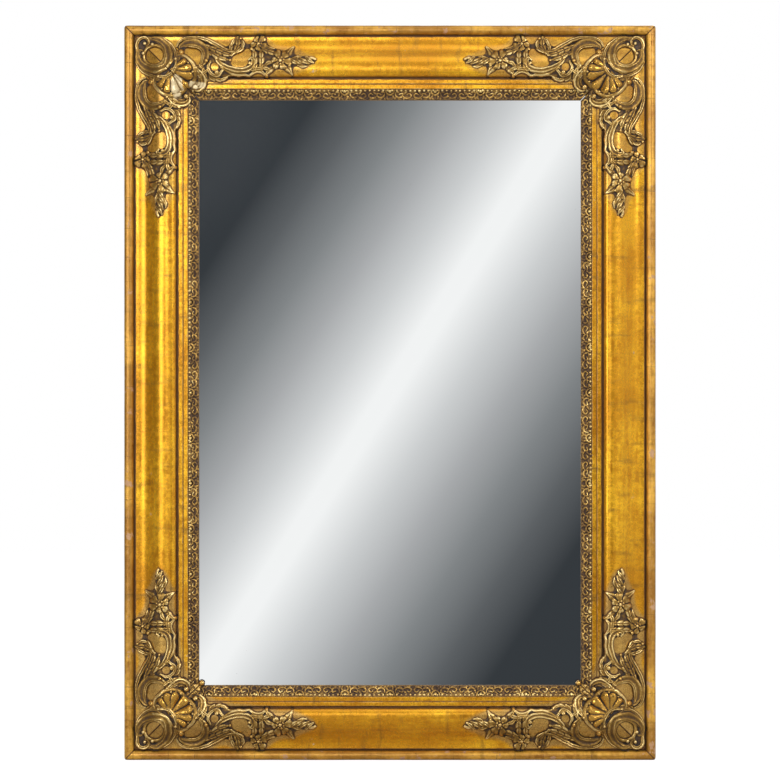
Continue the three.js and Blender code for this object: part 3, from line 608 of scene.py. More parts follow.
def in_world(side, run, inwards, forwards):
    """Points on one side of the frame as x, y, z; run is measured from the middle of the side."""
    turn, _, half_span = SIDES[side]
    z = inwards - half_span
    x_world = run * math.cos(turn) + z * math.sin(turn)
    z_world = -run * math.sin(turn) + z * math.cos(turn)
    return np.stack([x_world, WALL - forwards, z_world + HEIGHT / 2], -1)


def softened(corners, step):
    """A closed section with rounded corners and points no further apart than step, or ten times that
    behind, where it is flat. Returns the points, and how far each is an outer edge (1) or an inner one
    (-1), which fades over fade_length on both sides of a corner."""
    corners = np.asarray(corners, float)
    count = len(corners)
    radius, bent, fade_length = 0.45, 0.3, 1.3
    points, sharp = [], []
    for i in range(count):
        before, here, after = corners[i - 1], corners[i], corners[(i + 1) % count]
        a, b = here - before, after - here
        turn = a[0] * b[1] - a[1] * b[0]
        la, lb = np.hypot(*a), np.hypot(*b)
        bend = math.asin(max(-1.0, min(1.0, turn / (la * lb))))
        if abs(bend) < bent:
            points.append(here)
            sharp.append(0.0)
        else:
            cut = min(radius, la / 3, lb / 3)
            start, end = here - a / la * cut, here + b / lb * cut
            for t in (0.0, 0.33, 0.67, 1.0):
                points.append(start * (1 - t) ** 2 + here * 2 * t * (1 - t) + end * t ** 2)
                sharp.append(-1.0 if bend > 0 else 1.0)
    dense, edge = [], []
    fade = lambda value, away: value * math.exp(-(away / fade_length) ** 2)
    for i, here in enumerate(points):
        after = points[(i + 1) % len(points)]
        length = np.hypot(*(after - here))
        hidden = max(here[1], after[1]) < GLASS_FRONT + 0.5
        reach = 10 * step if hidden else step
        parts = max(1, math.ceil(length / reach))
        for k in range(parts):
            dense.append(here + (after - here) * k / parts)
            near, far = length * k / parts, length * (1 - k / parts)
            edge.append(fade(sharp[i], near) + (fade(sharp[(i + 1) % len(points)], far) if k else 0.0))
    return np.array(dense), np.clip(np.array(edge), -1, 1)


def stations(length, fine, coarse, reach):
    """Places along a side, close together within reach of its ends."""
    half = length / 2
    ends = np.arange(half - reach, half + 1e-6, fine)
    middle = np.linspace(-(half - reach), half - reach, int(2 * (half - reach) / coarse) + 2)[1:-1]
    return np.concatenate([-ends[::-1], middle, ends])


def bar(name, side, section, edge, runs, gap, material, lift=None, shadow=None):
    """A mitred bar: a closed section carried along one side of the frame, with the slight unevenness of
    a hand-planed surface. lift raises a pattern on it, and shadow gives it a painted shadow rim and the
    bronze toning round the castings."""
    _, length, _ = SIDES[side]
    count, steps = len(section), len(runs)
    share = runs / (length / 2)
    inwards = np.broadcast_to(section[:, 0], (steps, count))
    half = length / 2 - inwards - gap / 2
    run = share[:, None] * half
    forwards = np.broadcast_to(section[:, 1], (steps, count)).copy()
    arc = np.concatenate([[0], np.cumsum(np.hypot(*np.diff(section, axis=0).T))])
    seed = sum(ord(c) for c in name)
    sway, wave, joint_width, bare_edge = 0.12, 0.22, 1.7, 1.5
    inwards = inwards + sway * noise_field(run, forwards + inwards, 38, seed)
    forwards += np.where(forwards > MOULDING_BACK + 1, wave * noise_field(run, inwards, 30, seed + 1), 0)
    from_end = length / 2 - np.abs(run)
    joint = np.exp(-((from_end - inwards - gap / 2) / joint_width) ** 2)
    back = np.clip((MOULDING_BACK + bare_edge - forwards) / bare_edge, 0, 1)
    # Inner corners of the section and the low flanks of the beads get painted shade in hollow; the open mitre
    # joint is darkened as a joint.
    layers = {"arris": np.broadcast_to(np.maximum(edge, 0), run.shape),
              "hollow": np.maximum(np.broadcast_to(np.maximum(-edge, 0), run.shape), joint)}
    if lift is not None:
        rise, tone = lift(run, inwards)
        forwards = forwards + rise
        layers["tone"] = tone * (1 - 0.8 * joint)
    if shadow is not None:
        near, within = shadow(from_end, inwards)
        # The sawn faces behind the bead and in the rebate are bare wood.
        cut = (inwards < BEAD + 1.2) | (inwards > INNER_FILLET[0] + 0.6)
        back = np.maximum(back, np.where(cut & (forwards < GROOVE_FLOOR - 0.5), 1.0, 0.0))
        # Painted shade with varnish in the grooves and at the steps, and a painted shadow rim round the
        # castings.
        recess_shade = np.interp(inwards + 0.5 * noise_field(run, inwards, 9, seed + 2), RECESS_SHADE_AT, RECESS_SHADE)
        layers["hollow"] = np.maximum(np.maximum(layers["hollow"], recess_shade), near)
        # The wash is laid at full strength on the lower half and at 0.6 on the top, so the ground is darker
        # towards the bottom.
        level = in_world(side, run, inwards, forwards)[..., 2]
        layers["toned"] = within * np.interp(level, [0.35 * HEIGHT, 0.65 * HEIGHT], [1.0, 0.6])
    layers["bare"] = back

    # The frame's outer corners are rounded: points past the round are drawn back onto it.
    out = np.hypot(CORNER_ROUND - from_end, CORNER_ROUND - inwards)
    near_corner = (from_end < CORNER_ROUND) & (inwards < CORNER_ROUND) & (out > CORNER_ROUND)
    scale = np.where(near_corner, CORNER_ROUND / np.maximum(out, 1e-6), 1.0)
    inwards = CORNER_ROUND - (CORNER_ROUND - inwards) * scale
    run = np.sign(run) * (length / 2 - CORNER_ROUND + (CORNER_ROUND - from_end) * scale)
    points = in_world(side, run, inwards, forwards).reshape(-1, 3)
    rings, places = np.arange(steps - 1)[:, None] * count, np.arange(count)[None, :]
    here, there = rings + places, rings + (places + 1) % count
    faces = np.stack([here, there, there + count, here + count], -1).reshape(-1, 4)
    uv = np.stack([run * MM, np.broadcast_to(arc, run.shape) * MM], -1).reshape(-1, 2)
    obj = piece(name, points, faces, material, layers, uv)
    reworked(obj.data, holes=True)
    obj.data.set_sharp_from_angle(angle=math.radians(50))
    return obj


# ---------------------------------------------------------------- carving


def spline(points, spacing=0.5):
    """Points at an even spacing along a smooth curve through the given ones."""
    points = np.asarray(points, float)
    padded = np.vstack([2 * points[0] - points[1], points, 2 * points[-1] - points[-2]])
    curve, place = [], []
    for i in range(1, len(padded) - 2):
        p0, p1, p2, p3 = padded[i - 1:i + 3]
        t = np.linspace(0, 1, 25)[:-1, None]
        curve.append(0.5 * (2 * p1 + (p2 - p0) * t + (2 * p0 - 5 * p1 + 4 * p2 - p3) * t ** 2
                            + (3 * p1 - p0 - 3 * p2 + p3) * t ** 3))
        place.append(i - 1 + t[:, 0])
    curve = np.vstack([*curve, points[-1:]])
    place = np.concatenate([*place, [len(points) - 1]]) / (len(points) - 1)
    arc = np.concatenate([[0], np.cumsum(np.hypot(*np.diff(curve, axis=0).T))])
    even = np.linspace(0, arc[-1], max(3, int(arc[-1] / spacing)))
    line = np.stack([np.interp(even, arc, curve[:, 0]), np.interp(even, arc, curve[:, 1])], -1)
    return line, np.interp(even, arc, place)


class Carving:
    """A height field over the plan of a corner. Strokes are laid on it, and the highest one shows. A
    stroke is drawn a little fuller than its widths say, and its outline wavers as cut by hand. FLOOR is
    the height where nothing is laid."""

    FLOOR = -12.0
    FULLNESS = 1.14
    WAVER, WAVER_SIZE = 1.0, 11

    def __init__(self, low, high, step, seed):
        self.step = step
        self.low = np.array(low, float)
        counts = [int(round((h - l) / step)) + 1 for l, h in zip(low, high)]
        self.p, self.q = np.meshgrid(*[l + step * np.arange(n) for l, n in zip(low, counts)], indexing="ij")
        self.height = np.full(self.p.shape, self.FLOOR)
        self.burnish = np.zeros(self.p.shape)
        self.wp = self.p + self.WAVER * noise_field(self.p, self.q, self.WAVER_SIZE, seed)
        self.wq = self.q + self.WAVER * noise_field(self.p, self.q, self.WAVER_SIZE, seed + 1)

    def window(self, points, reach):
        """The part of the grid that lies within reach of the points."""
        low = (np.min(points, 0) - reach - self.low) / self.step
        high = (np.max(points, 0) + reach - self.low) / self.step
        low = np.clip(np.floor(low), 0, np.array(self.p.shape) - 1).astype(int)
        high = np.clip(np.ceil(high) + 1, 1, self.p.shape).astype(int)
        return slice(low[0], high[0]), slice(low[1], high[1])

    def put(self, area, inside, top, past, burnish=0.0):
        """Lays a stroke: its top inside its outline, and a flank that falls with the way past it."""
        height = np.where(inside, top, -past * FLANK)
        old = self.height[area]
        wins = height > old
        self.height[area] = np.where(wins, height, old)
        self.burnish[area] = np.where(wins & (height > 0), burnish, self.burnish[area])

    def along(self, points, widths, relief):
        """Where each point lies on a curve: its area, its share of the length, its distance, its side
        (-1 to 1), and the half width and relief there."""
        line, place = spline(points)
        gap = np.hypot(*(line[1] - line[0]))
        spread = lambda values: np.interp(place, np.linspace(0, 1, len(values)), values)
        half = spread(widths) * self.FULLNESS / 2
        rise = spread(np.atleast_1d(relief))
        ahead = np.gradient(line, axis=0)
        ahead /= np.maximum(np.hypot(*ahead.T), 1e-9)[:, None]
        area = self.window(line, half.max() * 1.3 + 5)
        p, q = self.wp[area], self.wq[area]
        best = np.full(p.shape, 1e9)
        index = np.zeros(p.shape, int)
        for k in range(len(line)):
            away = (p - line[k, 0]) ** 2 + (q - line[k, 1]) ** 2
            closer = away < best
            best[closer] = away[closer]
            index[closer] = k
        dp, dq = p - line[index, 0], q - line[index, 1]
        onward = ahead[index, 0] * dp + ahead[index, 1] * dq
        exact = np.clip(index + onward / gap, 0, len(line) - 1)
        width = np.maximum(np.interp(exact, np.arange(len(line)), half), 0.3)
        rise = np.interp(exact, np.arange(len(line)), rise)
        side = ahead[index, 0] * dq - ahead[index, 1] * dp
        past = np.maximum(np.abs(onward) - gap, 0)
        distance = np.where((index == 0) | (index == len(line) - 1), np.hypot(side, past), np.abs(side))
        distance = np.where(best > (width + 3) ** 2, np.sqrt(best), distance)
        return area, exact / (len(line) - 1), distance, np.clip(side / width, -1, 1), width, rise

    def band(self, points, widths, flutes=(), relief=6.0, trough=0.0, round_off=2.4, burnish=0.0):
        """A swelling stroke along a curve, dished between its rims by its trough, with flutes cut at the
        given places across it (-1 to 1, the left of the way it runs is positive)."""
        area, _, distance, side, width, rise = self.along(points, widths, relief)
        u = distance / width
        dome = np.sqrt(np.maximum(1 - np.minimum(u, 1) ** round_off, 0))
        dome = dome * (1 - trough * np.exp(-(side / 0.5) ** 2))
        for flute in flutes:
            dome = dome * (1 - 0.32 * np.exp(-((side - flute) * width) ** 2))
        self.put(area, u < 1, rise * dome, distance - width, burnish)

    def leaf(self, points, widths, lobes=0, relief=6.0):
        """A leaf: a crease along its middle, and lobes that lean towards its tip, parted by veins."""
        lean, cut, crease = 0.55, 0.3, 0.3
        area, share, distance, side, width, rise = self.along(points, widths, relief)
        if lobes:
            wave = np.abs(np.sin(math.pi * (lobes * share - lean * np.abs(side) + 0.5)))
            width = width * (1 - cut * (1 - wave ** 0.7))
            vein = 1 - 0.34 * np.exp(-(wave / 0.3) ** 2) * np.clip(np.abs(side) * 2, 0, 1)
        else:
            vein = 1.0
        u = distance / width
        dome = np.sqrt(np.maximum(1 - np.minimum(u, 1) ** 2.2, 0)) * vein
        dome = dome * (1 - crease * np.exp(-(side * width / 0.9) ** 2))
        self.put(area, u < 1, rise * dome, distance - width)

    def ball(self, centre, radius, rise=3.0, burnish=0.3):
        """A berry or the knob at the end of a scroll, on a foot of the given height."""
        area = self.window([centre], radius + 4)
        distance = np.hypot(self.p[area] - centre[0], self.q[area] - centre[1])
        round_top = rise + np.sqrt(np.maximum(radius ** 2 - distance ** 2, 0)) * 1.1
        self.put(area, distance < radius, round_top, distance - radius, burnish)

    def blossom(self, centre, radius, petals, phase, relief=8.0):
        """An open flower: cupped petals, each with its own length and a split tip, round a knot."""
        area = self.window([centre], radius * 1.2 + 5)
        dp, dq = self.wp[area] - centre[0], self.wq[area] - centre[1]
        out = np.hypot(dp, dq)
        angle = np.arctan2(dq, dp) - phase
        lobe = np.abs(np.cos(petals * angle / 2))
        own = 1 + 0.13 * np.sin(angle + 2.1) + 0.1 * np.sin(angle * 3 + 0.7)
        notch = 0.07 * np.exp(-((1 - lobe) / 0.012) ** 2)
        edge = radius * own * (0.74 + 0.26 * lobe ** 0.55 - notch)
        u = out / edge
        cup = 0.55 + 0.45 * np.clip(u, 0, 1) ** 1.6
        dome = np.sqrt(np.maximum(1 - np.minimum(u, 1) ** 4, 0))
        part = 1 - 0.5 * np.exp(-(lobe / 0.3) ** 2) * np.clip(u * 1.8, 0, 1)
        self.put(area, u < 1, relief * cup * dome * part, out - edge)
        self.ball(centre, radius * 0.2, relief * 0.55)
        for k in range(petals + 1):
            turn = phase + (k + 0.5) * 2 * math.pi / (petals + 1)
            spot = (centre[0] + 0.31 * radius * math.cos(turn), centre[1] + 0.31 * radius * math.sin(turn))
            self.ball(spot, radius * 0.11, relief * 0.55)

    def fill(self, reach, height):
        """Joins strokes that lie close together by a low web."""
        cells = max(1, int(reach / self.step))
        grown = blurred((self.height > 0).astype(float), cells) > 0.04
        closed = blurred(grown.astype(float), cells) > 0.96
        rough = height + 0.35 * noise_field(self.p, self.q, 4, 91)
        self.height = np.where(closed, np.maximum(self.height, rough), self.height)


def mirrored(strokes):
    """Lays strokes on both sides of the mitre."""
    def both(carving):
        strokes(carving, lambda points: points, 1)
        strokes(carving, lambda points: [(q, p) for p, q in points], -1)
    return both


def polar(centre, radius, degrees):
    """A point at a distance and an angle from another."""
    angle = math.radians(degrees)
    return centre[0] + radius * math.cos(angle), centre[1] + radius * math.sin(angle)


@mirrored
def cartouche_half(c, at, hand):
    """One half of a corner cartouche: C-scroll round the window, straps, shell, rim and leaf curl."""
    flutes = lambda *places: [hand * place for place in places]
    c.band(at([(35, 19), (30, 14), (33, 8), (41, 7), (50, 11), (58, 18), (64, 28), (67, 39), (66, 50),
               (61, 61), (54, 69), (46, 76)]), [3, 5, 7, 10, 13, 14, 16, 17, 17, 15, 11, 6],
           flutes(0.66), relief=[4, 5, 6, 7, 8, 8, 8, 8, 7, 6], trough=0.42)
    c.band(at([polar((40, 40), 20.5, 45 + degrees) for degrees in range(0, 181, 30)]), [6.5], relief=[4.6])
    c.ball(at([(35.5, 18)])[0], 3.2, 3.6, burnish=0)
    c.leaf(at([(5, 25), (8, 41), (14, 56), (24, 70), (34, 78)]), [4, 8, 9, 8, 4], lobes=4, relief=5)
    c.band(at([(29, 3), (44, 3), (57, 8), (68, 16), (76, 27), (80, 40), (78, 54)]), [3, 4, 5, 6, 6, 6, 3],
           flutes(0), relief=[3, 5, 6, 6, 4])
    c.leaf(at([(80, 60), (86, 50), (84, 38), (77, 28)]), [3, 7, 8, 4], lobes=3, relief=4.5)
    c.band(at([(48, 81), (58, 82), (68, 79), (76, 72)]), [4, 5.5, 6, 5], flutes(0), relief=6.4)
    c.ball(at([(47.5, 81)])[0], 2.8, 4.2)
    for degrees, length, width in ((-29, 43, 16.5), (-53, 41, 15.5), (-77, 36, 13)):
        run = [polar((70, 70), share * length, 45 + degrees) for share in (0.1, 0.45, 0.7, 0.86)]
        c.band(at(run), [3, 0.55 * width, 0.88 * width, 0.95 * width], relief=[3, 5, 8, 9.5], round_off=2.0,
               burnish=1.0)
    c.band(at([(99, 101), (109, 94), (115.5, 84), (117, 73), (114, 61), (107, 51), (98, 43), (88, 39),
               (80, 43)]), [10, 11, 11, 11, 11, 10, 9, 7, 4], flutes(-0.4), relief=[6, 6, 6, 6, 6, 5, 4])
    rim = ((109.4, 91), (112.9, 82), (113.4, 73), (110.4, 64), (104.9, 55.5), (97.9, 48.5))
    for k, bead in enumerate(rim):
        c.ball(at([bead])[0], 2.6 - 0.12 * k, 4.2, burnish=0.2)
    c.band(at([(112, 66), (122, 71), (130, 79), (133.5, 89), (132, 99), (126, 105), (119, 105)]),
           [5, 9, 10, 10, 9, 8, 5], relief=[4, 6, 7, 7, 6, 5], trough=0.45)
    c.ball(at([(118, 101)])[0], 5.0, 3.5, burnish=0.5)
    c.leaf(at([(118, 78), (125, 85), (127, 94), (122, 99)]), [4, 8, 8, 4], lobes=2, relief=4.5)


def cartouche_middle(c, tip):
    """What stands on the mitre itself: the middle lobe, the corner volute and the tip leaf."""
    run = [polar((70, 70), share * 45, 45) for share in (0.1, 0.45, 0.7, 0.83)]
    c.band(run, [3, 10, 16.5, 18], relief=[3, 5, 9, 10.5], round_off=2.0, burnish=1.0)
    c.band([(14, 40), (8, 31), (6, 19), (10, 9), (19, 5), (27, 9), (28, 17), (23, 21)],
           [4, 6, 7, 7, 7, 6, 5, 3], (0.3,), relief=[3, 5, 6, 6, 5, 4])
    c.ball((21, 16.5), 3.4, 2.8, burnish=0)
    c.band([(57, 91), (65, 84), (74, 76), (84, 66), (91, 57)], [3, 5, 8, 5, 3], relief=5)
    if tip:
        c.leaf([(102, 102), (111, 111), (120, 120), (129, 129)], [9, 15, 14, 6], lobes=3, relief=[5, 7, 7, 4])
        c.leaf([(107, 103), (116, 107), (125, 116)], [4, 8, 5], relief=5)
        c.leaf([(103, 107), (107, 116), (116, 125)], [4, 8, 5], relief=5)
        c.ball((124, 117), 3.2, 3.5, burnish=0.5)
        c.ball((117, 124), 3.2, 3.5, burnish=0.5)
        c.ball((129.5, 129), 5.0, 3.5, burnish=0.8)


def arm(c):
    """One spray: C-scroll with its window, acanthus with a curled tip, stem arc, trumpet leaf, rising
    leaves, two blossoms, pointed leaves and the tail."""
    c.band([(90, 29), (90, 22), (97, 17), (106, 15.5), (117, 16), (127, 20), (134.5, 28), (138, 39),
            (136, 50), (130, 59), (122, 66)], [4, 8, 12, 15, 16, 16, 16, 15, 13, 9, 4], (0.62,),
           relief=[4, 6, 7, 8, 8, 7, 7, 6, 4], trough=0.45)
    c.ball((91, 33), 5.2, 4, burnish=0.8)
    c.band([(82, 22), (87, 12), (98, 7), (112, 5.2), (127, 6.5), (141, 11), (154, 18), (167, 25), (180, 31),
            (196, 33)], [3, 5, 7, 7, 7, 8, 10, 11, 9, 4], (-0.1,), relief=[4, 5, 6, 6, 7, 7, 6])
    c.ball((139, 51), 3.8, 5, burnish=0.8)
    c.ball((120.5, 65), 2.8, 4.5)
    c.leaf([(127, 60), (133, 69), (137, 79), (139, 88)], [5, 9, 10, 6], lobes=3, relief=5)
    c.leaf([(120, 69), (125, 78), (130, 87)], [4, 8, 5], relief=4.5)
    c.band([(128, 81), (134, 76), (141, 71)], [4, 7, 5], (0,), relief=6)
    # Acanthus blades that spring from the scroll, lobed and turned over at their tips.
    c.leaf([(136, 21), (148, 26), (161, 32), (174, 38), (187, 41)], [7, 12, 14, 13, 5], lobes=4,
           relief=[6, 7, 8, 7, 5])
    c.leaf([(139, 33), (150, 37), (161, 43), (172, 48), (182, 50)], [6, 11, 13, 11, 4], lobes=3,
           relief=[5, 6, 7, 6, 4])
    c.ball((184, 50), 2.8, 3.4, burnish=0.6)
    c.leaf([(188, 38), (195, 27), (198, 16), (197, 4)], [8, 15, 16, 5], lobes=3, relief=[5, 6, 6, 4])
    c.leaf([(184, 30), (186, 20), (189, 12), (195, 5)], [6, 9, 8, 3], lobes=2, relief=[7, 7, 6, 4])
    c.leaf([(198, 33), (206, 26), (208, 16), (203, 6)], [6, 9, 8, 3], lobes=2, relief=[7, 7, 6, 4])
    c.ball((203, 7), 3.0, 3.0, burnish=0.6)
    # Stem arc with its spiral end, and the long pointed leaf above it.
    c.band([(155, 37), (159, 47), (167, 57), (180, 65), (196, 69), (212, 69), (224, 63.5), (229, 53),
            (225, 46), (219, 49)], [5, 7, 8, 9, 10, 11, 11, 9, 6, 3],
           relief=[5, 6, 7, 7, 8, 8, 6], trough=0.45)
    c.ball((221.5, 56), 3.4, 3.5)
    c.leaf([(168, 64), (184, 72), (201, 76.5), (221, 79)], [6, 9, 8, 2.5], relief=4)
    # Loop over the small window, with a round lobe under its arch.
    c.band([(147, 52), (143, 62), (146, 73), (154, 80), (163, 79), (169, 71), (174, 66)],
           [4, 6, 6, 6, 6, 6, 5], (0,), relief=[4, 6, 6, 6, 5])
    c.ball((159, 74), 4.6, 2.4, burnish=0.4)
    c.leaf([(165, 56), (170, 63), (178, 70)], [5, 9, 4], lobes=2, relief=5)
    c.leaf([(151, 82), (158, 86), (167, 87), (178, 83)], [4, 8, 8, 3], lobes=3, relief=4.5)
    c.leaf([(146, 78), (148, 84), (154, 89)], [4, 7, 3], relief=4)
    # Leaves between the stem and the blossoms.
    c.band([(223, 78), (232, 72), (243, 73), (252, 79)], [3, 7, 7, 4], (0,), relief=5)
    c.ball((253.5, 80), 3.2, 3, burnish=0.8)
    c.leaf([(232, 68), (232, 54), (231, 40), (228, 30)], [8, 13, 12, 6], lobes=3, relief=6)
    c.leaf([(243, 67), (244, 53), (243, 40), (241, 30)], [8, 12, 11, 6], lobes=3, relief=5.5)
    c.leaf([(226, 69), (238, 67), (250, 66), (262, 70)], [6, 10, 10, 6], lobes=3, relief=6)
    c.leaf([(246, 29), (257, 33), (270, 38)], [7, 12, 8], lobes=2, relief=6)
    c.leaf([(252, 22), (259, 26), (267, 27)], [6, 8, 3], relief=5)
    c.leaf([(250, 62), (256, 56), (264, 54)], [5, 9, 6], relief=5)
    c.blossom((237, 17), 17, 5, 0.45)
    c.ball((224, 27), 3.6, 3, burnish=0.6)
    c.blossom((279, 51), 21, 6, 0.15, relief=8.6)
    # Pointed leaves round the second blossom, the drop, and the feathered tail.
    c.leaf([(266, 62), (259, 70), (252, 79)], [9, 12, 3], relief=[2, 5, 5])
    c.leaf([(288, 60), (295, 68), (301, 78)], [10, 13, 3], relief=[2, 5, 5])
    c.leaf([(289, 43), (296, 34), (304, 23)], [10, 12, 3], relief=[2, 5, 5])
    c.leaf([(268, 38), (262, 32), (254, 30)], [6, 8, 4], relief=[2, 4, 4])
    plume = ((299, 50, 10, 15), (308, 50, 11, 16), (318, 48.5, 10.5, 15), (328, 46.5, 9, 13))
    for p, q, width, reach in plume:
        c.leaf([(p, q - 2), (p + 0.45 * reach, q + 3.5), (p + reach, q + 8)], [5, width, 3], relief=[5, 7, 4])
    c.leaf([(303, 46), (311, 43.5), (320, 42)], [5, 8, 2], relief=[4, 5, 4])
    c.leaf([(313, 60), (321, 62), (330, 62)], [4, 7, 2], relief=[4, 5, 4])
    c.band([(331, 49), (338, 45.5), (345, 48)], [6, 7, 5], relief=[5, 6, 5])
    c.ball((297, 48), 2.6, 3)
    c.ball((297, 61), 2.6, 3)


def carve(step, scale):
    """Carves the cartouches and the spray, joins their strokes by a web and wears their tops a little."""
    web_reach, web_height, wear = 2.4, 1.3, 0.2
    jobs = {
        "cartouche_plain": ((-4, -4), (146, 146), lambda c: (cartouche_half(c), cartouche_middle(c, False))),
        "cartouche_tip": ((-4, -4), (146, 146), lambda c: (cartouche_half(c), cartouche_middle(c, True))),
        "spray": ((72, -4), (360, 104), arm),
    }
    carvings = {}
    for seed, (name, (low, high, draw)) in enumerate(jobs.items()):
        carving = Carving(low, high, step, 11 + seed)
        draw(carving)
        carving.fill(web_reach, web_height)
        raised = carving.height > 0
        carving.height[raised] *= scale
        worn = noise_field(carving.p, carving.q, 2.6, 31 + seed)
        worn = worn + noise_field(carving.p, carving.q, 7, 41 + seed)
        carving.height[raised] += wear * worn[raised]
        carvings[name] = carving
    return carvings


def carvings(context):
    """Carves once and keeps the result for the other operators."""
    if not hasattr(carvings, "made"):
        shape = context.scene.mirror_shape
        carvings.made = carve(shape.grain / MM, shape.relief / FULL_RELIEF)
    return carvings.made


def rounded_mitre(p, q, reach=11.0):
    """The distance from the bead, eased where the two sides meet, as a casting bends over a mitre."""
    near = np.clip(0.5 + 0.5 * (q - p) / reach, 0, 1)
    return q * (1 - near) + p * near - reach * near * (1 - near)


def ground_lines(carving):
    """The mouldings' own surface, and the one that the carving is laid on."""
    inwards = BEAD + np.minimum(carving.p, carving.q)
    eased = np.maximum(BEAD + rounded_mitre(carving.p, carving.q), BEAD)
    return np.where(inwards < BEAD, BEAD_TOP, surface(inwards)), drape(eased)


def shade_map(carvings):
    """A lookup for how close a point on the frame is to a casting, and whether castings enclose it. It
    reaches over the part of a side that the castings cover. Closeness gives a painted shadow rim round
    the castings, which also stands for grime; enclosure gives the bronze toning."""
    step = carvings["spray"].step
    length, width = 390, 150
    cells = (int(length / step), int(width / step))
    cover = np.zeros(cells)
    for name in ("cartouche_tip", "spray"):
        carving = carvings[name]
        real, over = ground_lines(carving)
        seen = (over + carving.height > real + 0.3).astype(float)
        i0, j0 = np.round((carving.low + BEAD) / step).astype(int)
        part = cover[i0:i0 + seen.shape[0], j0:j0 + seen.shape[1]]
        np.maximum(part, seen[:part.shape[0], :part.shape[1]], out=part)
    reach = int(9.0 / step)
    padded = np.pad(cover, 3 * reach)
    grown = blurred(padded, reach) > 0.1
    within = blurred((blurred(grown.astype(float), reach) > 0.75).astype(float), int(2.0 / step))
    within = within[3 * reach:-3 * reach, 3 * reach:-3 * reach]
    # A painted shadow rim about 1 mm wide round the castings, which also stands for grime.
    near = np.clip(1.7 * blurred(cover, max(1, int(0.9 / step))), 0, 1)

    def shade(from_end, inwards):
        i = np.clip((from_end / step).astype(int), 0, cells[0] - 1)
        j = np.clip((inwards / step).astype(int), 0, cells[1] - 1)
        reached = from_end < length - 5
        return np.where(reached, near[i, j], 0.0), np.where(reached, within[i, j], 0.0)

    return shade


def cast(name, carving, corner, upright, material, node, lost=()):
    """A closed casting from a carving, laid on the mouldings at one corner. Lost leaf comes with a split
    along the mitre."""
    real, over = ground_lines(carving)
    sunk, seam, thickness, split_depth, split_run, kept_share = 1.3, 0.9, 1.9, 2.2, (62, 128), 0.42
    top = np.clip(over + carving.height, real - sunk, WALL - CAD_LOW.y / MM - 0.1)
    gesso = np.zeros(top.shape)
    for p, q, wide, high in lost:
        away = np.hypot((carving.p - p) / wide, (carving.q - q) / high)
        ragged = 0.3 * noise_field(carving.p, carving.q, 5, 17)
        gesso = np.maximum(gesso, np.clip(4.5 * (1.05 - away + ragged), 0, 1))
    if lost:
        split = np.exp(-(carving.p - carving.q) ** 2)
        split = split * ((carving.p > split_run[0]) & (carving.p < split_run[1]))
        top = np.maximum(top - split_depth * split, np.minimum(top, real + 0.2))
    shown = top > real - seam
    cells = shown[:-1, :-1] | shown[1:, :-1] | shown[:-1, 1:] | shown[1:, 1:]
    used = np.zeros(shown.shape, bool)
    for di in (0, 1):
        for dj in (0, 1):
            used[di:used.shape[0] - 1 + di, dj:used.shape[1] - 1 + dj] |= cells
    number = np.full(shown.shape, -1)
    number[used] = np.arange(used.sum())

    # Painted highlight and shade: the leaf is coloured bright where the surface stands above what lies round
    # it, near and a little further, and dark where the casting sinks to the moulding.
    open_surface = np.maximum(top, real)
    local = open_surface - blurred(open_surface, max(1, int(1.7 / carving.step)))
    wide = open_surface - blurred(open_surface, max(1, int(4.0 / carving.step)))
    lifted = np.clip((top - real) / 2.2, 0, 1)
    tone = np.clip(0.48 + 0.19 * local + 0.08 * wide, 0, 0.95) * (0.36 + 0.64 * lifted)

    # Front and back have the same cells, and walls close them along the open edges.
    a, b = BEAD + carving.p[used], BEAD + carving.q[used]
    if upright:
        a, b = b, a
    sx, sz = CORNERS[corner]
    x = sx * (WIDTH / 2 - a)
    z = HEIGHT / 2 + sz * (HEIGHT / 2 - b)
    front = np.stack([x, WALL - top[used], z], -1)
    back = np.stack([x, WALL - (real[used] - thickness), z], -1)
    count = int(used.sum())
    i, j = np.nonzero(cells)
    quad = np.stack([number[i, j], number[i + 1, j], number[i + 1, j + 1], number[i, j + 1]], -1)
    walls = []
    padded = np.pad(cells, 1)
    for (di, dj), (c0, c1) in {(-1, 0): (0, 3), (1, 0): (2, 1), (0, -1): (1, 0), (0, 1): (3, 2)}.items():
        edge = ~padded[1 + di:padded.shape[0] - 1 + di, 1 + dj:padded.shape[1] - 1 + dj][i, j]
        first, last = quad[edge, c0], quad[edge, c1]
        walls.append(np.stack([last, first, first + count, last + count], -1))
    faces = np.vstack([quad, quad[:, ::-1] + count, *walls])
    flip = (sx * sz > 0) != upright
    layers = {layer: np.concatenate([values[used], np.zeros(count)])
              for layer, values in (("tone", tone), ("gesso", gesso), ("burnish", carving.burnish))}
    obj = piece(name, np.vstack([front, back]), faces, material, layers, flip=not flip)
    thin = obj.modifiers.new("Thin", "DECIMATE")
    thin.ratio = kept_share
    obj = baked(obj, name)
    return dress(obj, "frame", node)


# ---------------------------------------------------------------- the pattern beside the glass


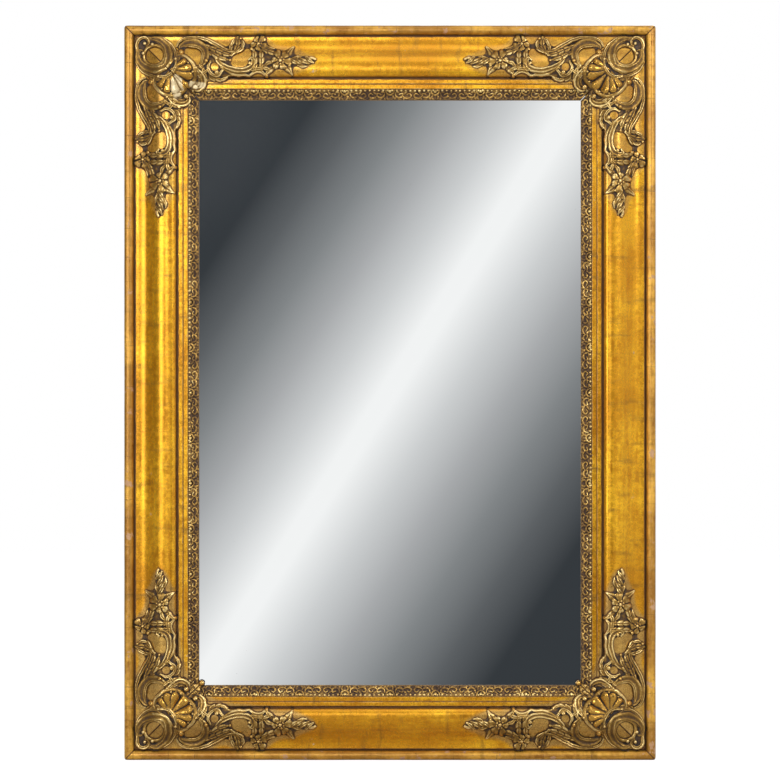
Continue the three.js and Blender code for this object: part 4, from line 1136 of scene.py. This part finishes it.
SIGHT_SCROLLS = (
    ([(10, 6), (12, 12), (18, 14.5), (24, 11.5), (23, 7), (18, 8)], [2, 3.2, 3.6, 3.4, 2.8, 2]),
    ([(24, 11), (29, 15), (36, 15), (40, 11), (37, 7), (33, 8.5)], [2, 3, 3.4, 3.2, 2.6, 2]),
)
SIGHT_LEAVES = (
    ([(4, 10), (6, 14), (3, 18.5)], [2, 4.4, 2], 1.7),
    ([(12, 13), (9.5, 16), (9, 19)], [2, 3.8, 1.6], 1.5),
    ([(18, 14), (18, 17), (22, 19)], [2, 3.8, 1.6], 1.5),
    ([(29, 14), (27, 17), (28, 19.5)], [2, 3.6, 1.4], 1.5),
    ([(36, 15), (37, 17.5), (41, 19)], [2, 3.6, 1.4], 1.5),
    ([(24, 9), (28, 7), (31, 4)], [1.8, 3.4, 1.4], 1.4),
    ([(11, 5), (14, 4), (17, 4.6)], [1.6, 3, 1.2], 1.3),
)


def sight_tile(repeat):
    """One repeat of the running leaf: a cup at the fillet with a berry, and on both sides of it two
    S-scrolls with leaves. Gives its height, its tone (painted shade in the ground and painted highlight
    on the tops) and the step between their points."""
    step, margin, breadth = 0.4, 4, 20
    carving = Carving((-margin, 0), (repeat + margin, breadth), step, 71)
    carving.wp, carving.wq = carving.p, carving.q
    for shift in (-repeat, 0, repeat):
        at = lambda points: [(shift + p, q) for p, q in points]
        # The cup, then on each side of its middle two scrolls and the leaves that grow from them.
        carving.band(at([(35, 1), (37, 6.5), (43, 9.5), (49, 6.5), (51, 1)]), [3, 3.4, 3.8, 3.4, 3],
                     relief=2.0)
        carving.ball((shift + 43, 3.4), 3.0, 0.8)
        for sign in (-1, 1):
            beside = lambda points: at([(43 + sign * p, q) for p, q in points])
            for scroll, widths in SIGHT_SCROLLS:
                carving.band(beside(scroll), widths, relief=1.8)
            for leaf, widths, relief in SIGHT_LEAVES:
                carving.leaf(beside(leaf), widths, relief=relief)
    keep = (carving.p[:, 0] >= 0) & (carving.p[:, 0] < repeat)
    height = np.clip(carving.height[keep], -0.4, None)
    relative = height - blurred(np.vstack([height] * 3), 3)[len(height):2 * len(height)]
    return height, np.clip(0.4 + 0.36 * relative, 0, 1), step


def sight_section():
    """A hollow face that falls from the fillet towards the glass."""
    outer = INNER_FILLET[0] + SEAT_GAP
    t = np.linspace(0, 1, 36)
    start, end = outer + 2, SIGHT_EDGE - 2
    hollow_x = start * (1 - t) ** 2 + (outer + end) / 2 * 2 * t * (1 - t) + end * t ** 2
    hollow_y = SIGHT_OUTER * (1 - t) ** 2 + SIGHT_INNER * (2 * t * (1 - t) + t ** 2)
    face = list(zip(hollow_x, hollow_y))
    back = GLASS_FRONT + SEAT_GAP
    return [(outer, back), (outer, SIGHT_OUTER), *face, (SIGHT_EDGE, SIGHT_INNER - 2), (SIGHT_EDGE, back)]


# ---------------------------------------------------------------- rows of small things


def row_tree(name, material):
    """A node group that sets copies of a small shape in a row, each a little different."""
    tree = bpy.data.node_groups.new(name, "GeometryNodeTree")
    for label, kind in (("Shape", "Object"), ("Count", "Int"), ("Start", "Vector"), ("Step", "Vector"),
                        ("Jitter", "Float"), ("Turn", "Vector"), ("Seed", "Int")):
        tree.interface.new_socket(label, in_out="INPUT", socket_type="NodeSocket" + kind)
    tree.interface.new_socket("Geometry", in_out="OUTPUT", socket_type="NodeSocketGeometry")
    given = add(tree, "NodeGroupInput").outputs
    line = add(tree, "GeometryNodeMeshLine", {"Count": given["Count"], "Start Location": given["Start"],
                                              "Offset": given["Step"]}, mode="OFFSET")
    shape = add(tree, "GeometryNodeObjectInfo", {"Object": given["Shape"]})
    size = add(tree, "FunctionNodeRandomValue", {"Min": 0.62, "Max": 1.08, "Seed": given["Seed"]},
               data_type="FLOAT")
    nudge = add(tree, "FunctionNodeRandomValue",
                {"Min": (-1, -1, -1), "Max": (1, 1, 1), "Seed": given["Seed"]}, data_type="FLOAT_VECTOR")
    nudge = add(tree, "ShaderNodeVectorMath", {0: nudge, "Scale": given["Jitter"]}, operation="SCALE")
    moved = add(tree, "GeometryNodeSetPosition", {"Geometry": line, "Offset": nudge})
    put = add(tree, "GeometryNodeInstanceOnPoints",
              {"Points": moved, "Instance": shape.outputs["Geometry"], "Rotation": given["Turn"],
               "Scale": size})
    real = add(tree, "GeometryNodeRealizeInstances", {0: put})
    painted = add(tree, "GeometryNodeSetMaterial", {"Geometry": real, "Material": material})
    add(tree, "NodeGroupOutput", {0: painted})
    return tree


def row(name, tree, slot, **values):
    """A plain mesh piece from a row of small shapes."""
    obj = placed(name + "_row", bpy.data.meshes.new(name))
    modifier = obj.modifiers.new("Row", "NODES")
    modifier.node_group = tree
    names = {item.name: item.identifier for item in tree.interface.items_tree if item.in_out == "INPUT"}
    for label, value in values.items():
        modifier[names[label]] = value
    obj = baked(obj, name)
    return obj


def joined(name, objects):
    """Several mesh objects as one."""
    work = bmesh.new()
    mesh = bpy.data.meshes.new(name)
    for material in objects[0].data.materials:
        mesh.materials.append(material)
    for obj in objects:
        work.from_mesh(obj.data)
        bpy.data.objects.remove(obj)
    work.to_mesh(mesh)
    work.free()
    mesh.shade_smooth()
    return placed(name, mesh)


def revolved(name, profile, sides, material):
    """A small turned shape about the y axis, from (radius, forwards) points in millimetres."""
    rings = []
    for radius, forwards in profile:
        turn = np.arange(sides) * 2 * math.pi / sides
        rings.append(np.stack([radius * np.cos(turn), np.full(sides, -forwards), radius * np.sin(turn)], -1))
    points = np.vstack(rings)
    faces = []
    for i in range(len(profile) - 1):
        for j in range(sides):
            k = (j + 1) % sides
            faces.append((i * sides + j, i * sides + k, (i + 1) * sides + k, (i + 1) * sides + j))
    mesh = bpy.data.meshes.new(name)
    mesh.from_pydata((points * MM).tolist(), [], faces)
    reworked(mesh, doubles=1e-6, holes=True)
    mesh.materials.append(material)
    mesh.shade_smooth()
    return placed(name, mesh)


# ---------------------------------------------------------------- back and iron


def assign(node, material):
    """Gives a CAD node one material."""
    data = frame["nodes"][node].data
    data.materials.clear()
    data.materials.append(material)


def rounded(node, name, material, body, radius, rings=2):
    """A copy of a CAD node with its sharp edges eased."""
    mesh = bpy.data.meshes.new(name)
    reworked(frame["nodes"][node].data, mesh, doubles=1e-5, level=3)
    mesh.materials.append(material)
    mesh.shade_smooth()
    obj = placed(name, mesh)
    bevel = obj.modifiers.new("Eased", "BEVEL")
    bevel.width = radius
    bevel.segments = rings
    bevel.limit_method = "ANGLE"
    bevel.angle_limit = math.radians(40)
    obj = baked(obj, name)
    obj.data.set_sharp_from_angle(angle=SHARP_IRON)
    return dress(obj, body, node)


def ring(node, name, material, body):
    """A hand-forged ring: round wire with faint hammer facets and a scarf weld at its foot."""
    low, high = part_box(node)
    centre = (low + high) / 2
    outer = (high.x - low.x) / 2
    wire = (high.y - low.y) / 2 + 0.00006
    around, across = 96, 20
    facets, facet_depth, weld, weld_size = 9, 0.02, 0.05, 0.16
    u = np.linspace(0, 2 * math.pi, around, endpoint=False)[:, None]
    v = np.linspace(0, 2 * math.pi, across, endpoint=False)[None, :]
    foot = np.exp(-((u - 1.5 * math.pi) / weld_size) ** 2)
    swell = wire * (1 + facet_depth * np.sin(facets * u + 2) + weld * foot)
    swell = np.minimum(swell, wire * 1.03) * np.ones_like(v)
    radius = outer - wire + swell * np.cos(v)
    points = np.stack([centre.x + radius * np.cos(u), centre.y + swell * np.sin(v),
                       centre.z + radius * np.sin(u)], -1).reshape(-1, 3) / MM
    i, j = np.meshgrid(np.arange(around), np.arange(across), indexing="ij")
    index = lambda a, b: (a % around) * across + b % across
    faces = np.stack([index(i, j), index(i, j + 1), index(i + 1, j + 1), index(i + 1, j)], -1).reshape(-1, 4)
    obj = piece(name, points, faces, material)
    reworked(obj.data)
    return dress(obj, body, node)


def screw(node, name, material, turn):
    """A round-headed wood screw with a hand-cut slot, driven to its own angle."""
    low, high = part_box(node)
    x, z = (low.x + high.x) / 2 / MM, (low.z + high.z) / 2 / MM
    head = (high.x - low.x) / 2 / MM
    top = high.y / MM
    rise, shank, thread_end, point = 1.8, 2.0, -14.0, -17.8
    profile = [(0, rise), (head * 0.45, rise * 0.92), (head * 0.8, rise * 0.62), (head, rise * 0.15),
               (head, 0), (shank, 0), (shank, thread_end), (0.6, point), (0, point)]
    obj = revolved(name, profile, 24, material)
    slot_size = (2.4 * head * MM, 1.6 * MM, 1.1 * MM)
    knife = placed("slot", bpy.data.meshes.new("slot"))
    work = bmesh.new()
    box = bmesh.ops.create_cube(work, size=1.0)["verts"]
    bmesh.ops.scale(work, vec=slot_size, verts=box)
    bmesh.ops.translate(work, vec=(0, -(rise + 0.05) * MM, 0), verts=box)
    work.to_mesh(knife.data)
    work.free()
    cut = obj.modifiers.new("Slot", "BOOLEAN")
    cut.object = knife
    cut.operation = "DIFFERENCE"
    obj = baked(obj, name)
    bpy.data.objects.remove(knife)
    turned = Matrix.Rotation(math.radians(turn), 4, "Y")
    backwards = Matrix.Rotation(math.pi, 4, "Z")
    place = Matrix.Translation((x * MM, (top - rise) * MM, z * MM))
    obj.data.transform(place @ turned @ backwards)
    obj.data.set_sharp_from_angle(angle=SHARP_IRON)
    return dress(obj, "frame", node)


# ---------------------------------------------------------------- stage


def flat(name, corners, material):
    """A flat piece of the stage."""
    mesh = bpy.data.meshes.new(name)
    mesh.from_pydata(corners, [], [(0, 1, 2, 3)])
    mesh.materials.append(material)
    obj = placed(name, mesh)
    return obj


def floor_and_card():
    """A pale floor, and a softly graded card in front that only the glass and the gilding see."""
    material, tree = new_material("Pale floor")
    path = add(tree, "ShaderNodeLightPath")
    seen = path.outputs["Is Camera Ray"]
    matt = add(tree, "ShaderNodeMix", {0: seen, 6: linear("#cfcfcd"), 7: linear("#8c8c8a")}, data_type="RGBA")
    matt = add(tree, "ShaderNodeBsdfDiffuse", {"Color": matt})
    glow = add(tree, "ShaderNodeMath", {0: seen, 1: 0.86}, operation="MULTIPLY")
    white = add(tree, "ShaderNodeEmission", {"Color": linear("#ffffff"), "Strength": glow})
    both = add(tree, "ShaderNodeAddShader", {0: matt, 1: white})
    add(tree, "ShaderNodeOutputMaterial", {0: both})
    flat("floor", [(-9, -9, 0), (9, -9, 0), (9, 9, 0), (-9, 9, 0)], material)

    card, tree = new_material("Graded card")
    place = add(tree, "ShaderNodeTexCoord").outputs["Object"]
    slant = add(tree, "ShaderNodeVectorMath", {0: place, 1: CARD_SLOPE}, operation="DOT_PRODUCT")
    level = add(tree, "ShaderNodeMapRange", {0: slant, 1: CARD_MIDDLE - CARD_REACH,
                                             2: CARD_MIDDLE + CARD_REACH})
    ramp = add(tree, "ShaderNodeValToRGB", {0: level})
    # Lightest in the middle, and darker by five steps to each side, in metres along the slant.
    light_half, reaches = 0.02, ((-1, 0.497), (1, 0.545))
    steps = sorted((side * (light_half + share * reach), shade_of(1 - share))
                   for side, reach in reaches for share in (0, 0.2, 0.4, 0.6, 0.8, 1.0))
    set_stops(ramp, [(0.5 + at / (2 * CARD_REACH), colour) for at, colour in steps])
    glow = add(tree, "ShaderNodeEmission", {"Color": ramp, "Strength": 1.0})
    add(tree, "ShaderNodeOutputMaterial", {0: glow})
    half, away, foot, top = 0.62, -1.6, 0.002, 1.5
    board = flat("graded_card", [(-half, away, foot), (half, away, foot), (half, away, top),
                                 (-half, away, top)], card)
    for ray in ("camera", "shadow", "diffuse", "transmission"):
        setattr(board, "visible_" + ray, False)


def shade_of(light):
    """A neutral grey, a little cool in the dark: 0 is the card's darkest tone and 1 its lightest."""
    return "#" + "".join(f"{round(dark + (248 - dark) * light):02x}" for dark in (55, 59, 63))


def lamps():
    """Soft round lamps, each with its place, width in metres and power in watts: a key from the right, a
    fill from the left, one overhead, one in front and one behind."""
    aim = Vector((0, 0, HEIGHT / 2 * MM))
    for name, place, size, power in (
            ("key", (2.7, -2.6, 2.3), 1.5, 58),
            ("fill", (-2.8, -2.6, 1.2), 1.8, 40),
            ("top", (0.2, -1.0, 3.3), 1.4, 6),
            ("front", (-0.9, -4.6, 1.75), 1.2, 60),
            ("back", (0.6, 3.0, 2.2), 2.0, 45)):
        lamp = bpy.data.lights.new(name, "AREA")
        lamp.shape = "DISK"
        lamp.size = size
        lamp.energy = power
        obj = placed(name, lamp)
        obj.location = place
        obj.rotation_euler = (aim - Vector(place)).to_track_quat("-Z", "Y").to_euler()


def world(scene):
    """White to the eye, a softly shaded studio to gloss, and an even light for everything matt."""
    sky = bpy.data.worlds.new("studio")
    sky.use_nodes = True
    tree = sky.node_tree
    tree.nodes.clear()
    path = add(tree, "ShaderNodeLightPath")
    seen = add(tree, "ShaderNodeMath", {0: path.outputs["Is Camera Ray"],
                                        1: path.outputs["Is Transmission Ray"]}, operation="MAXIMUM")
    way = add(tree, "ShaderNodeTexCoord").outputs["Generated"]
    slant = add(tree, "ShaderNodeVectorMath", {0: way, 1: (0.62, -0.2, 0.55)}, operation="DOT_PRODUCT")
    shaded = add(tree, "ShaderNodeMapRange", {0: slant, 1: -0.5, 2: 0.7})
    room = add(tree, "ShaderNodeMix", {0: shaded, 6: linear("#5f6264"), 7: linear("#ffffff")},
               data_type="RGBA")
    gloss = add(tree, "ShaderNodeMix", {0: path.outputs["Is Glossy Ray"], 6: linear("#c4c4c4"), 7: room},
                data_type="RGBA")
    colour = add(tree, "ShaderNodeMix", {0: seen, 6: gloss, 7: linear("#ffffff")}, data_type="RGBA")
    back = add(tree, "ShaderNodeBackground", {"Color": colour, "Strength": 1.0})
    add(tree, "ShaderNodeOutputWorld", {0: back})
    scene.world = sky


# ---------------------------------------------------------------- operators


class MIRROR_OT_mouldings(bpy.types.Operator):
    """Makes the four ogee mouldings and the four half-round outer beads"""

    bl_idname = "mirror.mouldings"
    bl_label = "Mouldings and beads"

    def execute(self, context):
        finish = context.scene.mirror_finish
        panel = gilt("Water-gilt panel", finish.leaf, finish.leaf_deep, worn="#cdb488", roughness=0.27,
                     metallic=0.66, crack_size=finish.crack_spacing * 1.5, crack_tone=0.5, chips=0.665)
        bead = gilt("Rubbed gilt bead", finish.bead_leaf, finish.bead_deep, worn="#d3ae82", roughness=0.34,
                    metallic=0.5, crack_size=finish.crack_spacing, crack_tone=0.9, chips=0.585)
        shade = shade_map(carvings(context))
        outer = BEAD + SEAT_GAP
        front = [(outer, MOULDING_BACK), (outer, GROOVE_FLOOR), (GROOVE_EDGE, GROOVE_FLOOR),
                 (GROOVE_EDGE, LISTEL), *zip(OGEE_X[::3], OGEE_Y[::3]), (OGEE_END[0], QUIRK[1]), QUIRK,
                 (QUIRK[0], FILLET[1]), FILLET, (FILLET[0], INNER_FILLET[1]), INNER_FILLET,
                 (INNER_FILLET[0], GLASS_FRONT), (REBATE, GLASS_FRONT), (REBATE, MOULDING_BACK)]
        section, edge = softened(front, step=2.0)
        radius = BEAD / 2
        round_top = [(radius + radius * math.cos(t), BEAD_TOP - radius + radius * math.sin(t))
                     for t in np.linspace(math.pi, 0, 25)]
        bead_front = [(0, MOULDING_BACK), *round_top, (BEAD, MOULDING_BACK)]
        bead_section, bead_edge = softened(bead_front, step=3.0)
        # A bead's top is rubbed pale, which is wear and also a painted highlight, and painted shade darkens
        # its flanks low down.
        rubbed_highlight_depth, unshaded_depth, flank_shade_depth = 3.2, 3.4, 6.0
        top = np.clip((bead_section[:, 1] - BEAD_TOP + rubbed_highlight_depth) / rubbed_highlight_depth, 0, 1)
        low = np.clip((BEAD_TOP - unshaded_depth - bead_section[:, 1]) / flank_shade_depth, 0, 1) * 0.8
        bead_edge = np.where(top > 0, top * 0.75, -low)
        for side, (_, length, _) in SIDES.items():
            runs = stations(length, fine=2.0, coarse=8.0, reach=366)
            obj = bar(f"gilt_moulding_{side}", side, section, edge, runs, MITRE_GAP[side], panel,
                      shadow=shade)
            dress(obj, "frame", f"moulding_{side}")
            runs = stations(length, fine=2.4, coarse=3.2, reach=60)
            obj = bar(f"gilt_bead_{side}", side, bead_section, bead_edge, runs, BEAD_GAP, bead)
            dress(obj, "frame", f"outer_bead_{side}")
        return {"FINISHED"}


class MIRROR_OT_castings(bpy.types.Operator):
    """Makes the corner cartouches and the sprays along the mouldings"""

    bl_idname = "mirror.castings"
    bl_label = "Castings"

    def execute(self, context):
        made = carvings(context)
        material = cast_gilt()
        for corner, (_, sz) in CORNERS.items():
            kind = "cartouche_tip" if sz < 0 else "cartouche_plain"
            lost = LOST_LEAF if corner == "top_left" else ()
            cast(f"cast_cartouche_{corner}", made[kind], corner, False, material, f"cartouche_{corner}", lost)
            for lie in ("level", "upright"):
                cast(f"cast_spray_{corner}_{lie}", made["spray"], corner, lie == "upright", material,
                     f"spray_{corner}_{lie}")
        return {"FINISHED"}


class MIRROR_OT_sight_strips(bpy.types.Operator):
    """Makes the patterned strips beside the glass and their rows of pearls"""

    bl_idname = "mirror.sight_strips"
    bl_label = "Sight strips"

    def execute(self, context):
        shape = context.scene.mirror_shape
        material = sight_gilt()
        repeat = shape.sight_repeat / MM
        height, tone, step = sight_tile(repeat)
        section, edge = softened(sight_section(), step=0.8)
        start, inner_rim, strip_gap, strip_step = INNER_FILLET[0] + 1.5, 1.2, 0.04, 1.2

        def lift(run, inwards):
            i = np.floor(np.mod(run + repeat / 2, repeat) / step).astype(int) % len(height)
            j = np.clip(((inwards - start) / step).astype(int), 0, height.shape[1] - 1)
            on_face = (inwards > start) & (inwards < SIGHT_EDGE - inner_rim)
            face = on_face & (np.broadcast_to(section[:, 1], run.shape) > SIGHT_INNER - 1)
            worn = noise_field(run, inwards, 9, 301) + 0.8 * noise_field(run, inwards, 2.6, 302)
            rise = height[i, j] * (1 - 0.22 * np.clip(worn, 0, 1)) + 0.12 * worn
            return np.where(face, rise, 0.0), np.where(face, tone[i, j] + 0.17 * worn, 0.45)

        pearl = revolved("pearl", [(0, 2.3), (1.2, 2.05), (2.1, 1.3), (2.5, 0.2), (2.5, -0.6), (0, -0.6)], 10,
                         material)
        tree = row_tree("Row of pearls", material)
        spacing = shape.pearl_spacing / MM
        line, foot = np.array([INNER_FILLET[0] + 2.9]), np.array([SIGHT_OUTER - 0.3])
        for side, (_, length, half_span) in SIDES.items():
            runs = stations(length, strip_step, strip_step, length / 2 - 1)
            obj = bar(f"gilt_sight_{side}", side, section, edge, runs, strip_gap, material,
                      lift=lift)
            dress(obj, "frame", f"sight_strip_{side}")
            count = int((length - 2 * INNER_FILLET[0] - 10) / spacing)
            reach = (count - 1) * spacing / 2
            first, last = [in_world(side, np.array([end]), line, foot) for end in (-reach, reach)]
            step_vector = (last - first)[0] / max(count - 1, 1)
            obj = row(f"sight_pearls_{side}", tree, "gilt_sight", Shape=pearl, Count=count,
                      Start=(first[0] * MM).tolist(), Step=(step_vector * MM).tolist(), Jitter=0.0005,
                      Seed=int(length + half_span))
            tones = obj.data.attributes.new("tone", "FLOAT", "POINT")
            tones.data.foreach_set("value", np.full(len(obj.data.vertices), PEARL_TONE, np.float32))
            dress(obj, "frame")
        bpy.data.objects.remove(pearl)
        return {"FINISHED"}


class MIRROR_OT_glass_and_back(bpy.types.Operator):
    """Finishes the plate, the back rails, blocks and boards, and adds the brads"""

    bl_idname = "mirror.glass_and_back"
    bl_label = "Glass and back"

    def execute(self, context):
        assign("mirror_plate", silvered_glass())
        pine = {(along, cut): old_pine(f"Old pine, grain {along}, cut {cut + 1}", along, cut)
                for along in "XZ" for cut in range(3)}
        wooden = ("back_rail", "corner_block", "glazing_block", "backboard")
        for index, node in enumerate(sorted(n for n in frame["nodes"] if n.startswith(wooden))):
            low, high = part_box(node)
            along = "X" if high.x - low.x > high.z - low.z else "Z"
            material = pine[along, index % 3]
            assign(node, material)
            rounded(node, f"pine_{node}", material, "frame", radius=0.0011, rings=1)
        iron = bpy.data.materials.get("Forged iron") or forged_iron()
        brad = revolved("brad", [(0, 1.1), (1.6, 0.9), (2.2, 0.3), (2.2, -1.0), (0, -1.0)], 10, iron)
        tree = row_tree("Row of brads", iron)
        spacing = context.scene.mirror_shape.brad_spacing
        # Three brads across each end of each board, then a row up both outer sides, in metres.
        from_end, from_side, end_start, side_start = 0.008, 0.007, 0.03, 0.05
        rows = []
        for index in (1, 2, 3):
            low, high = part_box(f"backboard_{index}")
            for z in (low.z + from_end, high.z - from_end):
                run = high.x - low.x - 2 * end_start
                rows.append(((low.x + end_start, high.y, z), (run / 2, 0, 0), 3))
        low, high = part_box("backboard_1")[0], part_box("backboard_3")[1]
        run = high.z - low.z - 2 * side_start
        count = int(run / spacing)
        for x in (low.x + from_side, high.x - from_side):
            rows.append(((x, high.y, low.z + side_start), (0, 0, run / count), count + 1))
        parts = []
        for seed, (start, step, count) in enumerate(rows):
            parts.append(row(f"brads_{seed}", tree, "forged_iron", Shape=brad, Count=count, Start=start,
                             Step=step, Jitter=0.0012, Turn=(0, 0, math.pi), Seed=seed))
        bpy.data.objects.remove(brad)
        obj = joined("backboard_brads", parts)
        dress(obj, "frame")
        return {"FINISHED"}


class MIRROR_OT_hardware(bpy.types.Operator):
    """Finishes the hanger plates, their screws and the rings"""

    bl_idname = "mirror.hardware"
    bl_label = "Hanging hardware"

    def execute(self, context):
        iron = bpy.data.materials.get("Forged iron") or forged_iron()
        for side in ("left", "right"):
            rounded(f"hanger_plate_{side}", f"iron_hanger_{side}", iron, "frame", radius=0.0006)
            ring(f"hanging_ring_{side}", f"iron_ring_{side}", iron, f"ring_{side}")
            for index in (1, 2):
                screw(f"hanger_screw_{side}_{index}", f"iron_screw_{side}_{index}", iron,
                      turn=20 + 47 * index)
        return {"FINISHED"}


class MIRROR_OT_stage(bpy.types.Operator):
    """Sets the floor, the lamps, the world and the camera"""

    bl_idname = "mirror.stage"
    bl_label = "Stage"

    def execute(self, context):
        scene = context.scene
        scene.view_settings.view_transform = "Standard"
        floor_and_card()
        lamps()
        world(scene)
        camera = bpy.data.cameras.new("camera")
        view = placed("camera", camera)
        scene.camera = view
        sensor = 36
        span = PHOTO_WIDTH * MM_PER_PIXEL * MM
        camera.sensor_fit = "HORIZONTAL"
        camera.sensor_width = sensor
        camera.lens = sensor * CAMERA_DISTANCE / span
        camera.clip_end = 50
        view.location = (0, -CAMERA_DISTANCE, HEIGHT / 2 * MM + CAMERA_RAISE)
        view.rotation_euler = (math.pi / 2, 0, 0)
        return {"FINISHED"}


class MIRROR_PT_panel(bpy.types.Panel):
    """Lists the mirror's pieces and settings"""

    bl_idname = "MIRROR_PT_panel"
    bl_label = "Pier mirror"
    bl_space_type = "VIEW_3D"
    bl_region_type = "UI"
    bl_category = "Pier mirror"

    def draw(self, context):
        for group in (context.scene.mirror_shape, context.scene.mirror_finish):
            for name in group.__annotations__:
                self.layout.prop(group, name)
        for operator in STEPS:
            self.layout.operator(operator.bl_idname)


STEPS = (MIRROR_OT_mouldings, MIRROR_OT_castings, MIRROR_OT_sight_strips, MIRROR_OT_glass_and_back,
         MIRROR_OT_hardware, MIRROR_OT_stage)
CLASSES = (MirrorShape, MirrorFinish, *STEPS, MIRROR_PT_panel)


def register():
    for item in CLASSES:
        bpy.utils.register_class(item)
    bpy.types.Scene.mirror_shape = bpy.props.PointerProperty(type=MirrorShape)
    bpy.types.Scene.mirror_finish = bpy.props.PointerProperty(type=MirrorFinish)


def unregister():
    del bpy.types.Scene.mirror_finish
    del bpy.types.Scene.mirror_shape
    for item in reversed(CLASSES):
        bpy.utils.unregister_class(item)


def main():
    register()
    bpy.ops.mirror.mouldings()
    bpy.ops.mirror.castings()
    bpy.ops.mirror.sight_strips()
    bpy.ops.mirror.glass_and_back()
    bpy.ops.mirror.hardware()
    bpy.ops.mirror.stage()


if __name__ == "__main__":
    main()
